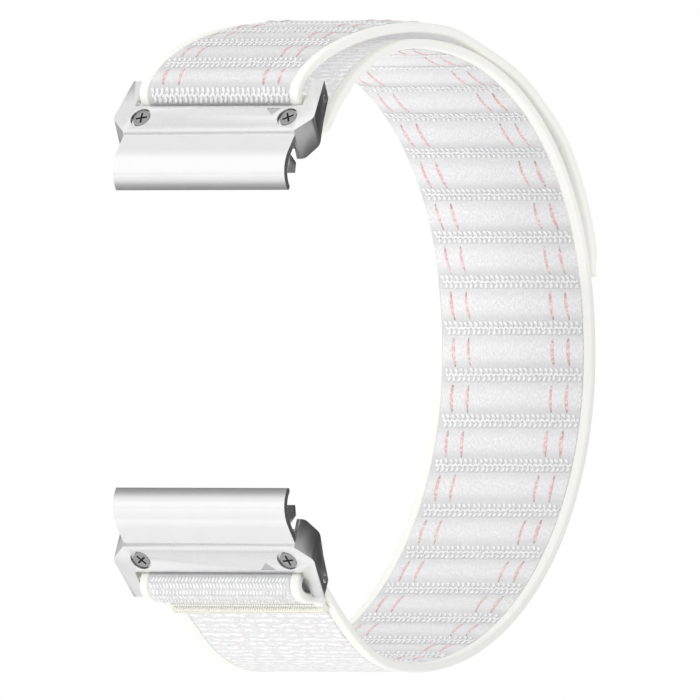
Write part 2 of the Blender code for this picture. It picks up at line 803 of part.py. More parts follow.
def make_frame(name, pivot):
    """The adapter's body: the leaning plate, its corner walls and the two ears for the bar."""
    lean = LIP_DROP * (FRAME_DEPTH_AT_LIP + CUT_OVERRUN) / FRAME_DEPTH_AT_LIP
    frame = leaning_prism(name, frame_plan(), FACE_Y, LIP_Y + CUT_OVERRUN, lean)
    frame.data.materials.append(satin_steel())
    frame.parent = pivot
    combine(frame, prism("profile_guide", frame_profile(), CORNER_HALF_WIDTH + CUT_OVERRUN), "INTERSECT")
    combine(frame, slot_cutter(), "DIFFERENCE")
    combine(frame, pocket_cutter(), "DIFFERENCE")
    hole = BAR_DIAMETER / 2 + BAR_FIT
    through = CORNER_HALF_WIDTH + CUT_OVERRUN
    combine(
        frame,
        round_bar("bar_hole_cutter", ((-through, hole), (through, hole)), (0, 0, 0), "X"),
        "DIFFERENCE",
    )
    for side in (-1, 1):
        place = (side * SCREW_HALF_SPAN, FACE_Y, SCREW_Z)
        recess = HEAD_DIAMETER / 2 + SEAT_GAP
        clearance = SHANK_DIAMETER / 2 + SEAT_GAP
        sections = (
            (-CUT_OVERRUN, recess),
            (HEAD_RECESS, recess),
            (HEAD_RECESS, clearance),
            (PLATE_THICKNESS + CUT_OVERRUN, clearance),
        )
        combine(frame, round_bar("screw_cutter", sections, place, "Y"), "DIFFERENCE")
    return frame


def hook_outline():
    """The hook's section: a straight front that sweeps back under to its lip."""
    start = Vector((FACE_Y + HOOK_FACE_DEPTH, wall_z(FACE_Y + HOOK_FACE_DEPTH) - SEAT_GAP))
    down = -math.pi / 2 - HOOK_LEAN
    knee = start + heading(down) * HOOK_FLAT_LENGTH
    centre = knee + heading(down + math.pi / 2) * HOOK_RADIUS
    first = down - math.pi / 2
    last = first + HOOK_SWEEP
    outer = arc_points(centre, HOOK_RADIUS, first, last, HOOK_STEPS)
    inner = arc_points(centre, HOOK_RADIUS - HOOK_THICKNESS, last, first, HOOK_STEPS)
    inside = start + heading(down + math.pi / 2) * HOOK_THICKNESS
    inside.y = wall_z(inside.x) - SEAT_GAP
    middle = centre + heading(last) * (HOOK_RADIUS - HOOK_THICKNESS / 2)
    tip = middle + heading(last + math.pi / 2) * HOOK_TIP_ROUNDING
    return [tuple(start), *outer, tuple(tip), *inner, tuple(inside)]


def make_hook(name, pivot):
    """The spring-steel hook that seats on the watch, with the flange that the screws hold."""
    hook = prism(name, hook_outline(), HOOK_HALF_WIDTH, satin_steel())
    hook.parent = pivot
    flange_face = CEILING_Y + SEAT_GAP
    flange_back = flange_face + FLANGE_THICKNESS
    edge_face = FACE_Y + FRONT_EDGE_THICKNESS + SEAT_GAP
    below_wall = wall_z(FACE_Y + FRONT_EDGE_THICKNESS) - SEAT_GAP
    outline = [
        (flange_face, POCKET_TOP_Z - FLANGE_TOP_GAP),
        (flange_back, POCKET_TOP_Z - FLANGE_TOP_GAP),
        (flange_back, EDGE_Z - SEAT_GAP),
        (edge_face - FLANGE_OVERLAP, LIP_Z),
        (edge_face - FLANGE_OVERLAP, below_wall),
        (edge_face, below_wall),
        (edge_face, EDGE_Z + FRONT_EDGE_RUN - SEAT_GAP),
        (flange_face, EDGE_Z + FRONT_EDGE_RUN - SEAT_GAP),
    ]
    combine(hook, prism("flange_guide", outline, POCKET_HALF_WIDTH - SEAT_GAP), "UNION")
    notch = [
        (flange_face - SEAT_GAP / 2, POCKET_TOP_Z),
        (flange_back + SEAT_GAP, POCKET_TOP_Z),
        (flange_back + SEAT_GAP, EDGE_Z + FLANGE_NOTCH_FROM_EDGE),
        (flange_face - SEAT_GAP / 2, EDGE_Z + FLANGE_NOTCH_FROM_EDGE),
    ]
    combine(hook, prism("flange_notch_cutter", notch, FLANGE_NOTCH_HALF_WIDTH), "DIFFERENCE")
    for side in (-1, 1):
        place = (side * SCREW_HALF_SPAN, flange_face, SCREW_Z)
        clearance = SHANK_DIAMETER / 2 + SEAT_GAP
        sections = ((-CUT_OVERRUN, clearance), (FLANGE_THICKNESS + CUT_OVERRUN, clearance))
        combine(hook, round_bar("flange_hole_cutter", sections, place, "Y"), "DIFFERENCE")
    return hook


def make_cover(name, pivot):
    """The thin cover that closes the latch's pocket on the wrist side, with its two screw posts."""
    top = POCKET_TOP_Z - SEAT_GAP
    bottom = LIP_Z + COVER_END_GAP
    outline = [
        (back_y(top) - COVER_THICKNESS - SEAT_GAP, top),
        (back_y(top) - SEAT_GAP, top),
        (back_y(bottom) - SEAT_GAP, bottom),
        (back_y(bottom) - COVER_THICKNESS - SEAT_GAP, bottom),
    ]
    cover = prism(name, outline, POCKET_HALF_WIDTH - SEAT_GAP, satin_steel())
    cover.parent = pivot
    flange_back = CEILING_Y + SEAT_GAP + FLANGE_THICKNESS
    for side in (-1, 1):
        place = (side * SCREW_HALF_SPAN, flange_back + SEAT_GAP, SCREW_Z)
        rise = back_y(SCREW_Z) - COVER_THICKNESS / 2 - SEAT_GAP - place[1]
        room = min(POCKET_HALF_WIDTH - SCREW_HALF_SPAN, POCKET_TOP_Z - SCREW_Z)
        radius = min(POST_DIAMETER / 2, room - SEAT_GAP)
        combine(cover, round_bar("post_guide", ((0, radius), (rise, radius)), place, "Y"), "UNION")
        hole = SHANK_DIAMETER / 2 + SEAT_GAP / 2
        depth = screw_reach() + SEAT_GAP - place[1]
        sections = ((-CUT_OVERRUN, hole), (depth, hole))
        combine(cover, round_bar("post_hole_cutter", sections, place, "Y"), "DIFFERENCE")
    return cover


def neck_face_y():
    return CEILING_Y + SEAT_GAP + FLANGE_THICKNESS + RUNNING_GAP


def neck_top_z():
    return EDGE_Z + NECK_TOP_FROM_EDGE


def make_slider(name, pivot):
    """The latch that shuts the hook's mouth: a nose across the width on a neck that slides under the cover."""
    face = neck_face_y()
    nose_top = LIP_Z + NOSE_TOP_FROM_LIP
    outline = [
        (face, nose_top),
        (face, nose_top - NOSE_FRONT_DROP),
        (face + NOSE_TOE_DEPTH, nose_top - NOSE_TOE_DROP),
        (face + NOSE_HEEL_DEPTH, nose_top - NOSE_HEEL_DROP),
        (face + NOSE_BACK_DEPTH, nose_top),
    ]
    slider = prism(name, outline, NOSE_HALF_WIDTH, bright_steel())
    slider.parent = pivot
    neck = [
        (face, neck_top_z()),
        (face + NECK_THICKNESS, neck_top_z()),
        (face + NECK_THICKNESS, nose_top - NECK_OVERLAP),
        (face, nose_top - NECK_OVERLAP),
    ]
    combine(slider, prism("neck_guide", neck, NECK_HALF_WIDTH), "UNION")
    return slider


def make_spring(name, x, pivot):
    """A small coil spring between the slider's neck and the slot's wall."""
    radius = (SPRING_DIAMETER - SPRING_WIRE) / 2
    low = neck_top_z() + RUNNING_GAP / 2 + SPRING_WIRE / 2
    high = POCKET_TOP_Z - RUNNING_GAP / 2 - SPRING_WIRE / 2
    centre_y = neck_face_y() + SPRING_BEHIND_NECK_FACE
    count = SPRING_TURNS * SPRING_STEPS
    data = bpy.data.curves.new(name, "CURVE")
    data.dimensions = "3D"
    line = data.splines.new("POLY")
    line.points.add(count)
    for step in range(count + 1):
        turn = math.tau * step / SPRING_STEPS
        height = low + (high - low) * step / count
        line.points[step].co = (
            x + radius * math.cos(turn),
            centre_y + radius * math.sin(turn),
            height,
            1.0,
        )
    data.bevel_depth = SPRING_WIRE / 2
    data.bevel_resolution = 1
    data.use_fill_caps = True
    data.materials.append(bright_steel())
    spring = bpy.data.objects.new(name, data)
    bpy.context.scene.collection.objects.link(spring)
    spring.parent = pivot
    return spring


def screw_reach():
    """The depth of a screw's end below the plate's face."""
    return FACE_Y + HEAD_RECESS - SEAT_GAP / 2 + SHANK_LENGTH


def make_screw(name, x, pivot):
    """A small flat-headed screw that clamps the plate, the hook's flange and the cover."""
    seat = HEAD_RECESS - SEAT_GAP / 2
    top = seat - HEAD_HEIGHT
    shank = SHANK_DIAMETER / 2
    head = HEAD_DIAMETER / 2
    sections = (
        (top, head - SEAT_GAP),
        (top + SEAT_GAP, head),
        (seat, head),
        (seat, shank),
        (seat + SHANK_LENGTH - SEAT_GAP, shank),
        (seat + SHANK_LENGTH, shank - SEAT_GAP),
    )
    screw = round_bar(name, sections, (x, FACE_Y, SCREW_Z), "Y", dark_steel())
    screw.parent = pivot
    return screw


def make_bar(name, pivot):
    """The bar that the strap turns round, pressed into both ears."""
    radius = BAR_DIAMETER / 2
    share = (0.0 - (EDGE_Z + CORNER_RUN)) / (TIP_Z - EDGE_Z - CORNER_RUN)
    flank = CORNER_HALF_WIDTH + (TIP_HALF_WIDTH - CORNER_HALF_WIDTH) * share
    half = flank - BAR_INSET
    sections = (
        (-half, radius - BAR_INSET),
        (-half + BAR_INSET, radius),
        (half - BAR_INSET, radius),
        (half, radius - BAR_INSET),
    )
    bar = round_bar(name, sections, (0, 0, 0), "X", bright_steel(), BAR_SIDES)
    bar.parent = pivot
    return bar


def make_adapter(end, z, roll):
    """One adapter on its bar, and the latch on its slide."""
    pivot = bpy.data.objects.new(end + "_adapter_pivot", None)
    pivot.location = (0, BAR_Y, z)
    pivot.rotation_euler = (-PLATE_LEAN, roll, 0)
    bpy.context.scene.collection.objects.link(pivot)
    across = -1 if roll else 1
    make_frame(end + "_adapter_frame", pivot)
    make_hook(end + "_lug_hook", pivot)
    make_cover(end + "_latch_cover", pivot)
    make_slider(end + "_latch_slider", pivot)
    make_bar(end + "_strap_bar", pivot)
    for side, word in ((-1, "left"), (1, "right")):
        local = side * across
        make_spring(f"{end}_latch_spring_{word}", local * SPRING_HALF_SPAN, pivot)
        make_screw(f"{end}_screw_{word}", local * SCREW_HALF_SPAN, pivot)


def main():
    clear_scene()
    route, marks = strap_route()
    make_webbing(route, marks)
    make_binding("edge_binding_right", 1, route, marks)
    make_binding("edge_binding_left", -1, route, marks)
    make_hook_patch()
    make_fold_stitching(route)
    make_adapter("top", BAR_Z, 0.0)
    make_adapter("bottom", -BAR_Z, math.pi)
    print(f"strap length {route.length / MM:.1f} mm")


main()
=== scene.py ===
import json
import math
import random
from bisect import bisect_right
from math import cos, pi, radians, sin, tau

import bmesh
import bpy
from mathutils import Euler, Matrix, Vector

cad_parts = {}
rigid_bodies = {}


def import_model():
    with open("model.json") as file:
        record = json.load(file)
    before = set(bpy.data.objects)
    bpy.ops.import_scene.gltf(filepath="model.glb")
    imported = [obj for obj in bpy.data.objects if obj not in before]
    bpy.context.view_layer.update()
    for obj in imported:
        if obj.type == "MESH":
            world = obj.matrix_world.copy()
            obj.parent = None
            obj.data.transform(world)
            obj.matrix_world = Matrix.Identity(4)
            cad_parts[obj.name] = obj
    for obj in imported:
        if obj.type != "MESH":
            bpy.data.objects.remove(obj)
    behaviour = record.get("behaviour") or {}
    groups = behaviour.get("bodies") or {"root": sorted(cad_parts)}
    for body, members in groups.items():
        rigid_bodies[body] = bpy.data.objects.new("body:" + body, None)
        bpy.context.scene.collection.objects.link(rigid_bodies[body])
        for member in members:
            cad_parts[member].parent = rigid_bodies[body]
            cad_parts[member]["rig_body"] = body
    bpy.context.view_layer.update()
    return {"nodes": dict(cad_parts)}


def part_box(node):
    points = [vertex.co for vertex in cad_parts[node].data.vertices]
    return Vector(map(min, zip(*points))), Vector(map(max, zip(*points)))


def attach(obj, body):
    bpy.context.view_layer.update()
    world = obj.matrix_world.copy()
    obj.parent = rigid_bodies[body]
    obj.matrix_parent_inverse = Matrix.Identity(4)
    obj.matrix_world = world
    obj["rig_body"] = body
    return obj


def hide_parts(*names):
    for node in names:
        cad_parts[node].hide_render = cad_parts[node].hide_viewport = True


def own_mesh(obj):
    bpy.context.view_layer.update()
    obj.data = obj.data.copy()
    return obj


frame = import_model()


# The webbing is one long strip of rib-knit nylon: raised cushions on the side that lies on the wrist, a low
# loop pile on the other. It is sewn down round the lower bar, goes round the wrist, passes the upper slot
# and folds back outside as a tab.
MM = 0.001
STRAP_WIDTH = 20.0 * MM
STRAP_THICKNESS = 1.05 * MM
GROUND_THICKNESS = 0.9 * MM
BINDING_WIDTH = 1.1 * MM
WEB_HALF_WIDTH = STRAP_WIDTH / 2 - BINDING_WIDTH - 0.02 * MM
RIB_RISE = 0.4 * MM
FLAT_RUN = 2.4 * MM
ROUTE_STEP = 0.05 * MM
SAME_POINT = 0.0001 * MM

# The loop, measured to the middle of its thickness
LOOP_HALF_HEIGHT = 33.5 * MM
LOOP_BACK_DEPTH = 36.6 * MM
LOOP_CENTRE_Y = 1.0 * MM
LOOP_CENTRE_Z = -1.8 * MM
UPPER_FULLNESS = 2.18
LOWER_FULLNESS = 2.02

# The free end, with (share of the way from its landing to its tip, share of the gap), and the sewn end
TAB_GAP = 1.15 * MM
TAB_GAPS = ((0.0, 0.6), (0.19, 0.17), (0.45, 0.55), (0.65, 1.0), (0.85, 0.85), (0.93, 0.7), (1.0, 0.11))
TAB_TAPER_LENGTH = 2.3 * MM
TAB_TIP_THICKNESS = 0.5 * MM
TAB_PULLS = (5.6 * MM, 11.6 * MM)
TAB_END_ANGLE = radians(12.7)
TAB_LANDING_ANGLE = radians(82.0)
SEWN_END_LENGTH = 4.4 * MM
SEWN_GAP = 0.15 * MM
SEWN_PULLS = (1.6 * MM, 1.6 * MM)

# The strap passes each slot against the bar, square to the plate. A nose is (reach, radius, turn).
BAR = Vector((-21.42 * MM, 25.6 * MM))
BAR_DIAMETER = 0.84 * MM
BAR_TO_STRAP = 0.05 * MM
PLATE_LEAN = radians(38.4)
PLATE_UP = Vector((sin(PLATE_LEAN), cos(PLATE_LEAN)))
PLATE_IN = Vector((cos(PLATE_LEAN), -sin(PLATE_LEAN)))
UNDER_BAR = BAR - PLATE_UP * (BAR_DIAMETER / 2 + BAR_TO_STRAP + STRAP_THICKNESS / 2)
FRONT_RUN = 0.75 * MM
FRONT_BEND_RADIUS = 1.2 * MM
UPPER_NOSE = (3.3 * MM, 1.9 * MM, radians(94.0))
LOWER_NOSE = (0.1 * MM, 1.6 * MM, radians(80.0))
UPPER_PULLS = (5.6 * MM, 7.2 * MM)
LOWER_PULLS = (11.0 * MM, 9.5 * MM)
UPPER_FRONT_TURN = radians(90.0)
LOWER_FRONT_TURN = radians(99.0)


def smooth_share(value, low, high):
    share = min(max((value - low) / (high - low), 0.0), 1.0)
    return share * share * (3 - 2 * share)


def shares(steps):
    return [step / steps for step in range(steps + 1)]


def heading(angle):
    return Vector((cos(angle), sin(angle)))


def curve_points(start, start_angle, end, end_angle, pulls):
    """A smooth curve from start to end that leaves and arrives at the angles given."""
    second = start + heading(start_angle) * pulls[0]
    third = end - heading(end_angle) * pulls[1]
    points = []
    for t in shares(int((end - start).length / ROUTE_STEP)):
        u = 1 - t
        points.append(start * u**3 + second * (3 * u * u * t) + third * (3 * u * t * t) + end * t**3)
    return points


def bend_points(start, start_angle, radius, turn):
    """An arc from start that leaves at start_angle and turns left by turn, or right where it is negative."""
    quarter = math.copysign(pi / 2, turn)
    centre = start + heading(start_angle + quarter) * radius
    points = []
    for share in shares(int(abs(turn) * radius / ROUTE_STEP)):
        angle = start_angle - quarter + turn * share
        points.append(Vector((centre.x + radius * cos(angle), centre.y + radius * sin(angle))))
    return points


def loop_point(angle, offset):
    """A point on the back half of the loop, moved outwards by offset."""
    power = 2 / (UPPER_FULLNESS if angle > 0 else LOWER_FULLNESS)
    lean = 2 - power
    across = max(cos(angle), 0.0)
    up = abs(sin(angle))
    side = math.copysign(1.0, angle)
    place = Vector((LOOP_CENTRE_Y + LOOP_BACK_DEPTH * across**power, LOOP_CENTRE_Z + LOOP_HALF_HEIGHT * up**power * side))
    normal = Vector((across**lean / LOOP_BACK_DEPTH, side * up**lean / LOOP_HALF_HEIGHT)).normalized()
    return place + normal * offset


def back_half(first_angle, last_angle, offset_at):
    """Points round the back of the loop, where offset_at gives the distance outwards at a share of the way."""
    sweep = last_angle - first_angle
    steps = int(abs(sweep) * LOOP_BACK_DEPTH / ROUTE_STEP)
    return [loop_point(first_angle + sweep * share, offset_at(share)) for share in shares(steps)]


def slot_route(apex_z, nose, pulls):
    """From the loop's apex forward and down through the nose and the slot to the plate's face."""
    reach, radius, turn = nose
    behind = UNDER_BAR + PLATE_IN * reach
    front = UNDER_BAR - PLATE_IN * FRONT_RUN
    straight = [front.lerp(behind, share) for share in shares(int((behind - front).length / ROUTE_STEP))]
    bend = bend_points(behind, -PLATE_LEAN, radius, turn)
    shoulder = curve_points(bend[-1], turn - PLATE_LEAN, Vector((LOOP_CENTRE_Y, apex_z)), 0.0, pulls)
    return (straight[:-1] + bend[:-1] + shoulder)[::-1]


def front_bend(turn):
    """The bend over the bar on the plate's face, and the angle at which it ends."""
    start_angle = pi - PLATE_LEAN
    bend = bend_points(UNDER_BAR - PLATE_IN * FRONT_RUN, start_angle, FRONT_BEND_RADIUS, -turn)
    return bend, start_angle - turn


def tab_gap(share):
    """The gap between the loop and the tab at this share of the way from the landing to the tip."""
    for (first, low), (second, high) in zip(TAB_GAPS, TAB_GAPS[1:]):
        if share <= second:
            break
    return TAB_GAP * (low + (high - low) * smooth_share(share, first, second))


def mirrored(points):
    """The same line at the lower bar, from its other end."""
    return [Vector((point.x, -point.y)) for point in reversed(points)]


class Route:
    """A line in the YZ plane, read by distance along it."""

    def __init__(self, points):
        self.points, self.reach = [points[0]], [0.0]
        for point in points[1:]:
            step = (point - self.points[-1]).length
            if step > SAME_POINT:
                self.points.append(point)
                self.reach.append(self.reach[-1] + step)
        self.length = self.reach[-1]

    def at(self, distance):
        """The point at this distance, and the unit vector along the route there."""
        distance = min(max(distance, 0.0), self.length)
        low = min(bisect_right(self.reach, distance), len(self.reach) - 1) - 1
        share = (distance - self.reach[low]) / (self.reach[low + 1] - self.reach[low])
        before = self.points[max(low - 1, 0)]
        after = self.points[min(low + 2, len(self.points) - 1)]
        return self.points[low].lerp(self.points[low + 1], share), (after - before).normalized()

    def beside(self, x, distance, rise):
        """The place at x that stands out from the line by rise."""
        point, along = self.at(distance)
        spot = point + Vector((-along.y, along.x)) * rise
        return Vector((x, spot.x, spot.y))


# Both ends are drawn at the upper bar first.
upper = slot_route(LOOP_HALF_HEIGHT + LOOP_CENTRE_Z, UPPER_NOSE, UPPER_PULLS)
lower = slot_route(LOOP_HALF_HEIGHT - LOOP_CENTRE_Z, LOWER_NOSE, LOWER_PULLS)
bend, end_angle = front_bend(LOWER_FRONT_TURN)
reach = bend[-1] + heading(end_angle) * SEWN_END_LENGTH
nearest = min(range(1, len(lower)), key=lambda index: (lower[index] - reach).length)
along = (lower[nearest - 1] - lower[nearest]).normalized()
tip = lower[nearest] + Vector((-along.y, along.x)) * (STRAP_THICKNESS + SEWN_GAP)
sewn = bend + curve_points(bend[-1], end_angle, tip, math.atan2(along.y, along.x), SEWN_PULLS)[1:]
bend, end_angle = front_bend(UPPER_FRONT_TURN)
over = back_half(TAB_LANDING_ANGLE, TAB_END_ANGLE, lambda share: STRAP_THICKNESS + tab_gap(share))
along = over[1] - over[0]
lift = curve_points(bend[-1], end_angle, over[0], math.atan2(along.y, along.x), TAB_PULLS)
back = back_half(-pi / 2, pi / 2, lambda share: 0.0)
line, run_ends = [], []
for run in (mirrored(sewn), mirrored(lower), back, upper, bend + lift[1:] + over[1:]):
    line += run[1:] if line else run
    route = Route(line)
    run_ends.append(route.length)
lower_bend, lower_apex, upper_apex, upper_bend, STRAP_LENGTH = run_ends
on_strap = route.beside

# The ribs: a little closer at the back, and the groove inside the upper slot drawn on a little
BACK_MIDDLE = (lower_apex + upper_apex) / 2 + 1.79 * MM
BACK_PITCH = 5.15 * MM
END_PITCH = 5.85 * MM
BACK_RUN = 14.0 * MM
PITCH_EASE = 5.0 * MM
DRAWN_PLACE = upper_bend + 0.26 * MM
DRAWN_REACH = 4.5 * MM
DRAWN_BY = 1.9 * MM
nose_lengths = [FRONT_RUN + reach + radius * turn for reach, radius, turn in (LOWER_NOSE, UPPER_NOSE)]
front_length = FRONT_BEND_RADIUS * UPPER_FRONT_TURN
TIGHT_SPANS = (
    (lower_bend - front_length, lower_bend + nose_lengths[0]),
    (upper_bend - nose_lengths[1], upper_bend + front_length),
)


def ribs_at(distance):
    """How many ribs lie between the back's middle and this place."""
    drawn = min(abs(distance - DRAWN_PLACE) / DRAWN_REACH, 1.0)
    distance -= DRAWN_BY / 2 * (1 + cos(pi * drawn))
    away = abs(distance - BACK_MIDDLE)
    slack = 1 / END_PITCH - 1 / BACK_PITCH
    eased = min(max(away - BACK_RUN, 0.0), PITCH_EASE)
    count = away / BACK_PITCH + slack * (eased * eased / PITCH_EASE / 2 + max(away - BACK_RUN - PITCH_EASE, 0.0))
    return math.copysign(count, distance - BACK_MIDDLE)


def groove_place(index):
    """The distance along the strap at which this many ribs have passed."""
    low, high = -STRAP_LENGTH, STRAP_LENGTH * 2
    for halving in range(50):
        middle = (low + high) / 2
        low, high = (middle, high) if ribs_at(middle) < index else (low, middle)
    return low


def thickness_share(distance):
    tip = TAB_TIP_THICKNESS / STRAP_THICKNESS
    return min(1.0, tip + (1.0 - tip) * (STRAP_LENGTH - distance) / TAB_TAPER_LENGTH)


def rib_fade(distance):
    """Ribs are pressed flat round the bars and at both ends."""
    level = 1.0
    for start, end in TIGHT_SPANS:
        level *= min(1.0, max(0.0, max(start - distance, distance - end) / FLAT_RUN))
    return level * min(1.0, max(0.0, min(distance, STRAP_LENGTH - distance) / FLAT_RUN - 1.0))


def rib_face(x, distance):
    """How far the ribbed face stands from the strap's middle line. A rib rises slowly and falls steeply."""
    phase = ribs_at(distance) % 1.0
    rise = smooth_share(phase, 0.02, 0.56) ** 0.85
    fall = sin(pi / 2 * min((1.0 - phase) / 0.42, 1.0)) ** 0.8
    crown = 1.0 - min(abs(x) / WEB_HALF_WIDTH, 1.0) ** 11
    swell = 0.93 + 0.07 * sin(x / (1.9 * MM) + distance / (2.3 * MM))
    rise *= fall * RIB_RISE * rib_fade(distance) * crown * swell
    return GROUND_THICKNESS / 2 * thickness_share(distance) + rise


def rows_along(step):
    """Distances all along the strap, about this far apart."""
    return [STRAP_LENGTH * share for share in shares(round(STRAP_LENGTH / step))]


def only(piece):
    """Selects this piece and nothing else."""
    bpy.ops.object.select_all(action="DESELECT")
    piece.select_set(True)
    bpy.context.view_layer.objects.active = piece


scene = bpy.context.scene


def placed(name, data):
    """A new object in the scene, selected alone."""
    piece = bpy.data.objects.new(name, data)
    scene.collection.objects.link(piece)
    only(piece)
    return piece


def new_piece(name, mesh, finish):
    mesh.materials.append(finish.material)
    return placed(name, mesh)


def settle(piece, body, node=None):
    """Gives a finished piece its body, and hides the CAD node that it stands for."""
    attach(piece, body)
    if node:
        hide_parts(node)


def closed_mesh(name, bm):
    bmesh.ops.recalc_face_normals(bm, faces=bm.faces)
    mesh = bpy.data.meshes.new(name)
    bm.to_mesh(mesh)
    bm.free()
    return mesh


def woven_strip(name, distances, ring_at, material_of=lambda side: 0):
    """A closed strip: ring_at(distance) gives (x, rise, u) round its section, and u and the length map it."""
    bm = bmesh.new()
    layer = bm.loops.layers.uv.new("strap")
    rings = []
    for distance in distances:
        rings.append([(bm.verts.new(on_strap(x, distance, rise)), u) for x, rise, u in ring_at(distance)])
    sides = len(rings[0])
    faces = [([(vert, u, 0.0) for vert, u in rings[0][::-1]], 0), ([(vert, u, 1.0) for vert, u in rings[-1]], 0)]
    levels = [distance / STRAP_LENGTH for distance in distances]
    for first, second, low, high in zip(rings, rings[1:], levels, levels[1:]):
        for side in range(sides):
            after = (side + 1) % sides
            (near, u0), (far, u1) = first[side], first[after]
            u1 = u0 if abs(u1 - u0) > 0.4 else u1
            corners = ((near, u0, low), (far, u1, low), (second[after][0], u1, high), (second[side][0], u0, high))
            faces.append((corners, material_of(side)))
    for corners, material in faces:
        face = bm.faces.new([vert for vert, u, v in corners])
        face.material_index = material
        face.smooth = True
        for loop, (vert, u, v) in zip(face.loops, corners):
            loop[layer].uv = (u, v)
    return closed_mesh(name, bm)


class Signal:
    """A number or colour inside a material. Sums and products of numbers add Math nodes."""

    def __init__(self, finish, socket):
        self.finish = finish
        self.socket = socket

    def math(self, operation, *others):
        return self.finish.node("Math", {"operation": operation}, dict(enumerate((self, *others))))

    def __add__(self, other):
        return self.math("ADD", other)

    def __sub__(self, other):
        return self.math("SUBTRACT", other)

    def __mul__(self, other):
        return self.math("MULTIPLY", other)

    def __truediv__(self, other):
        return self.math("DIVIDE", other)

    def __mod__(self, other):
        return self.math("FLOORED_MODULO", other)


class Finish:
    """A material being made on one Principled BSDF."""

    def __init__(self, name, roughness, shine, sheen=0.0, glow=0.0, **constants):
        self.material = bpy.data.materials.new(name)
        self.material.use_nodes = True
        self.tree = self.material.node_tree
        self.shader = self.tree.nodes["Principled BSDF"]
        fixed = {"Roughness": roughness, "Specular IOR Level": shine, "Sheen Weight": sheen, "Emission Strength": glow}
        for socket, value in {**fixed, **constants}.items():
            self.shader.inputs[socket].default_value = value

    def node(self, kind, settings, sockets, output=0):
        made = self.tree.nodes.new("ShaderNode" + kind)
        for setting, value in settings.items():
            setattr(made, setting, value)
        for socket, value in sockets.items():
            if isinstance(value, Signal):
                self.tree.links.new(value.socket, made.inputs[socket])
            else:
                made.inputs[socket].default_value = value
        return Signal(self, made.outputs[output])

    def attribute(self, name):
        return self.node("Attribute", {"attribute_name": name}, {}, 2)

    def uv(self, name):
        """The two numbers of this map, both from 0 to 1."""
        place = self.node("UVMap", {"uv_map": name}, {})
        return self.node("SeparateXYZ", {}, {0: place}, 0), self.node("SeparateXYZ", {}, {0: place}, 1)

    def place(self):
        """The point on the piece in millimetres."""
        spot = self.node("TexCoord", {}, {}, 3)
        return self.node("VectorMath", {"operation": "SCALE"}, {0: spot, 3: 1 / MM})

    def noise(self, vector, scale, detail=2.0, roughness=0.5):
        sockets = {"Vector": vector, "Scale": scale, "Detail": detail, "Roughness": roughness}
        return self.node("TexNoise", {}, sockets)

    def lay_out(self, first_u, width):
        """Keeps the millimetres across this face of the strap, whose map starts at first_u, and along it."""
        u, v = self.uv("strap")
        self.across = (u * 2.0 - first_u) * width
        self.along = v * (STRAP_LENGTH / MM)

    def weave(self, across, along, seed=0.0, detail=2.0, roughness=0.5):
        """Noise with this many waves a millimetre across and along the strap."""
        grid = self.node("CombineXYZ", {}, {0: self.across * across, 1: self.along * along, 2: seed})
        return self.noise(grid, 1.0, detail, roughness)

    def step(self, value, low, high, start=0.0, end=1.0):
        """Eases from start to end while value goes from low to high."""
        sockets = {0: value, 1: low, 2: high, 3: start, 4: end}
        return self.node("MapRange", {"interpolation_type": "SMOOTHSTEP"}, sockets)

    def mix(self, factor, first, second):
        """Two colours in this share: signals, (red, green, blue) or one grey level."""
        sockets = {0: factor}
        for socket, colour in ((6, first), (7, second)):
            if isinstance(colour, float):
                colour = (colour, colour, colour)
            sockets[socket] = (*colour, 1.0) if isinstance(colour, tuple) else colour
        return self.node("Mix", {"data_type": "RGBA"}, sockets, 2)

    def feed(self, socket, value):
        self.tree.links.new(value.socket, self.shader.inputs[socket])

    def feed_bump(self, height, distance, strength):
        """Height is a share of distance, which is in metres."""
        self.feed("Normal", self.node("Bump", {}, {"Height": height, "Distance": distance, "Strength": strength}))


# From here the tab lies over the main run. The pile and the bindings there glow a little: painted light in the shade
# between the two layers.
LAYERS_START = 96.0
LAYERS_END = 101.0
knit = Finish("rib_knit_nylon", 0.62, 0.35, 0.15, **{"Sheen Roughness": 0.4})
knit.lay_out(0.5, STRAP_WIDTH / MM)
phase = knit.attribute("rib") % 1.0
strand = knit.weave(7.5, 2.1, 0.0, 3.0, 0.75)
fleck = knit.weave(5.0, 2.4, 7.0, 3.0, 0.75)
tint = knit.weave(0.35, 0.4, 3.0)
# Painted shade: the ground in each groove is painted a darker grey than the ribs, for the shade down in the groove.
groove_shade_mask = knit.step(phase, 0.29, 0.34, 1.0, 0.0)
# Painted shade: each rib's top and foot are painted darker where they turn down into the grooves.
shade = knit.step(phase, 0.74, 0.99) * 0.42 + knit.step(phase, 0.58, 0.33) * 0.6
cloth = knit.mix(tint, (0.845, 0.84, 0.85), (0.875, 0.87, 0.87))
cloth = knit.mix(knit.step(strand, 0.6, 0.36) * 0.8, cloth, (0.7, 0.7, 0.715))
cloth = knit.mix(knit.step(fleck, 0.52, 0.66) * 0.75, cloth, 0.99)
cloth = knit.mix(shade * (strand + 0.4), cloth, (0.62, 0.62, 0.63))
knit.feed("Base Color", knit.mix(groove_shade_mask, cloth, (0.7, 0.7, 0.71)))
knit.feed_bump(strand * 0.6 + fleck * 0.4, 0.16 * MM, 0.7)

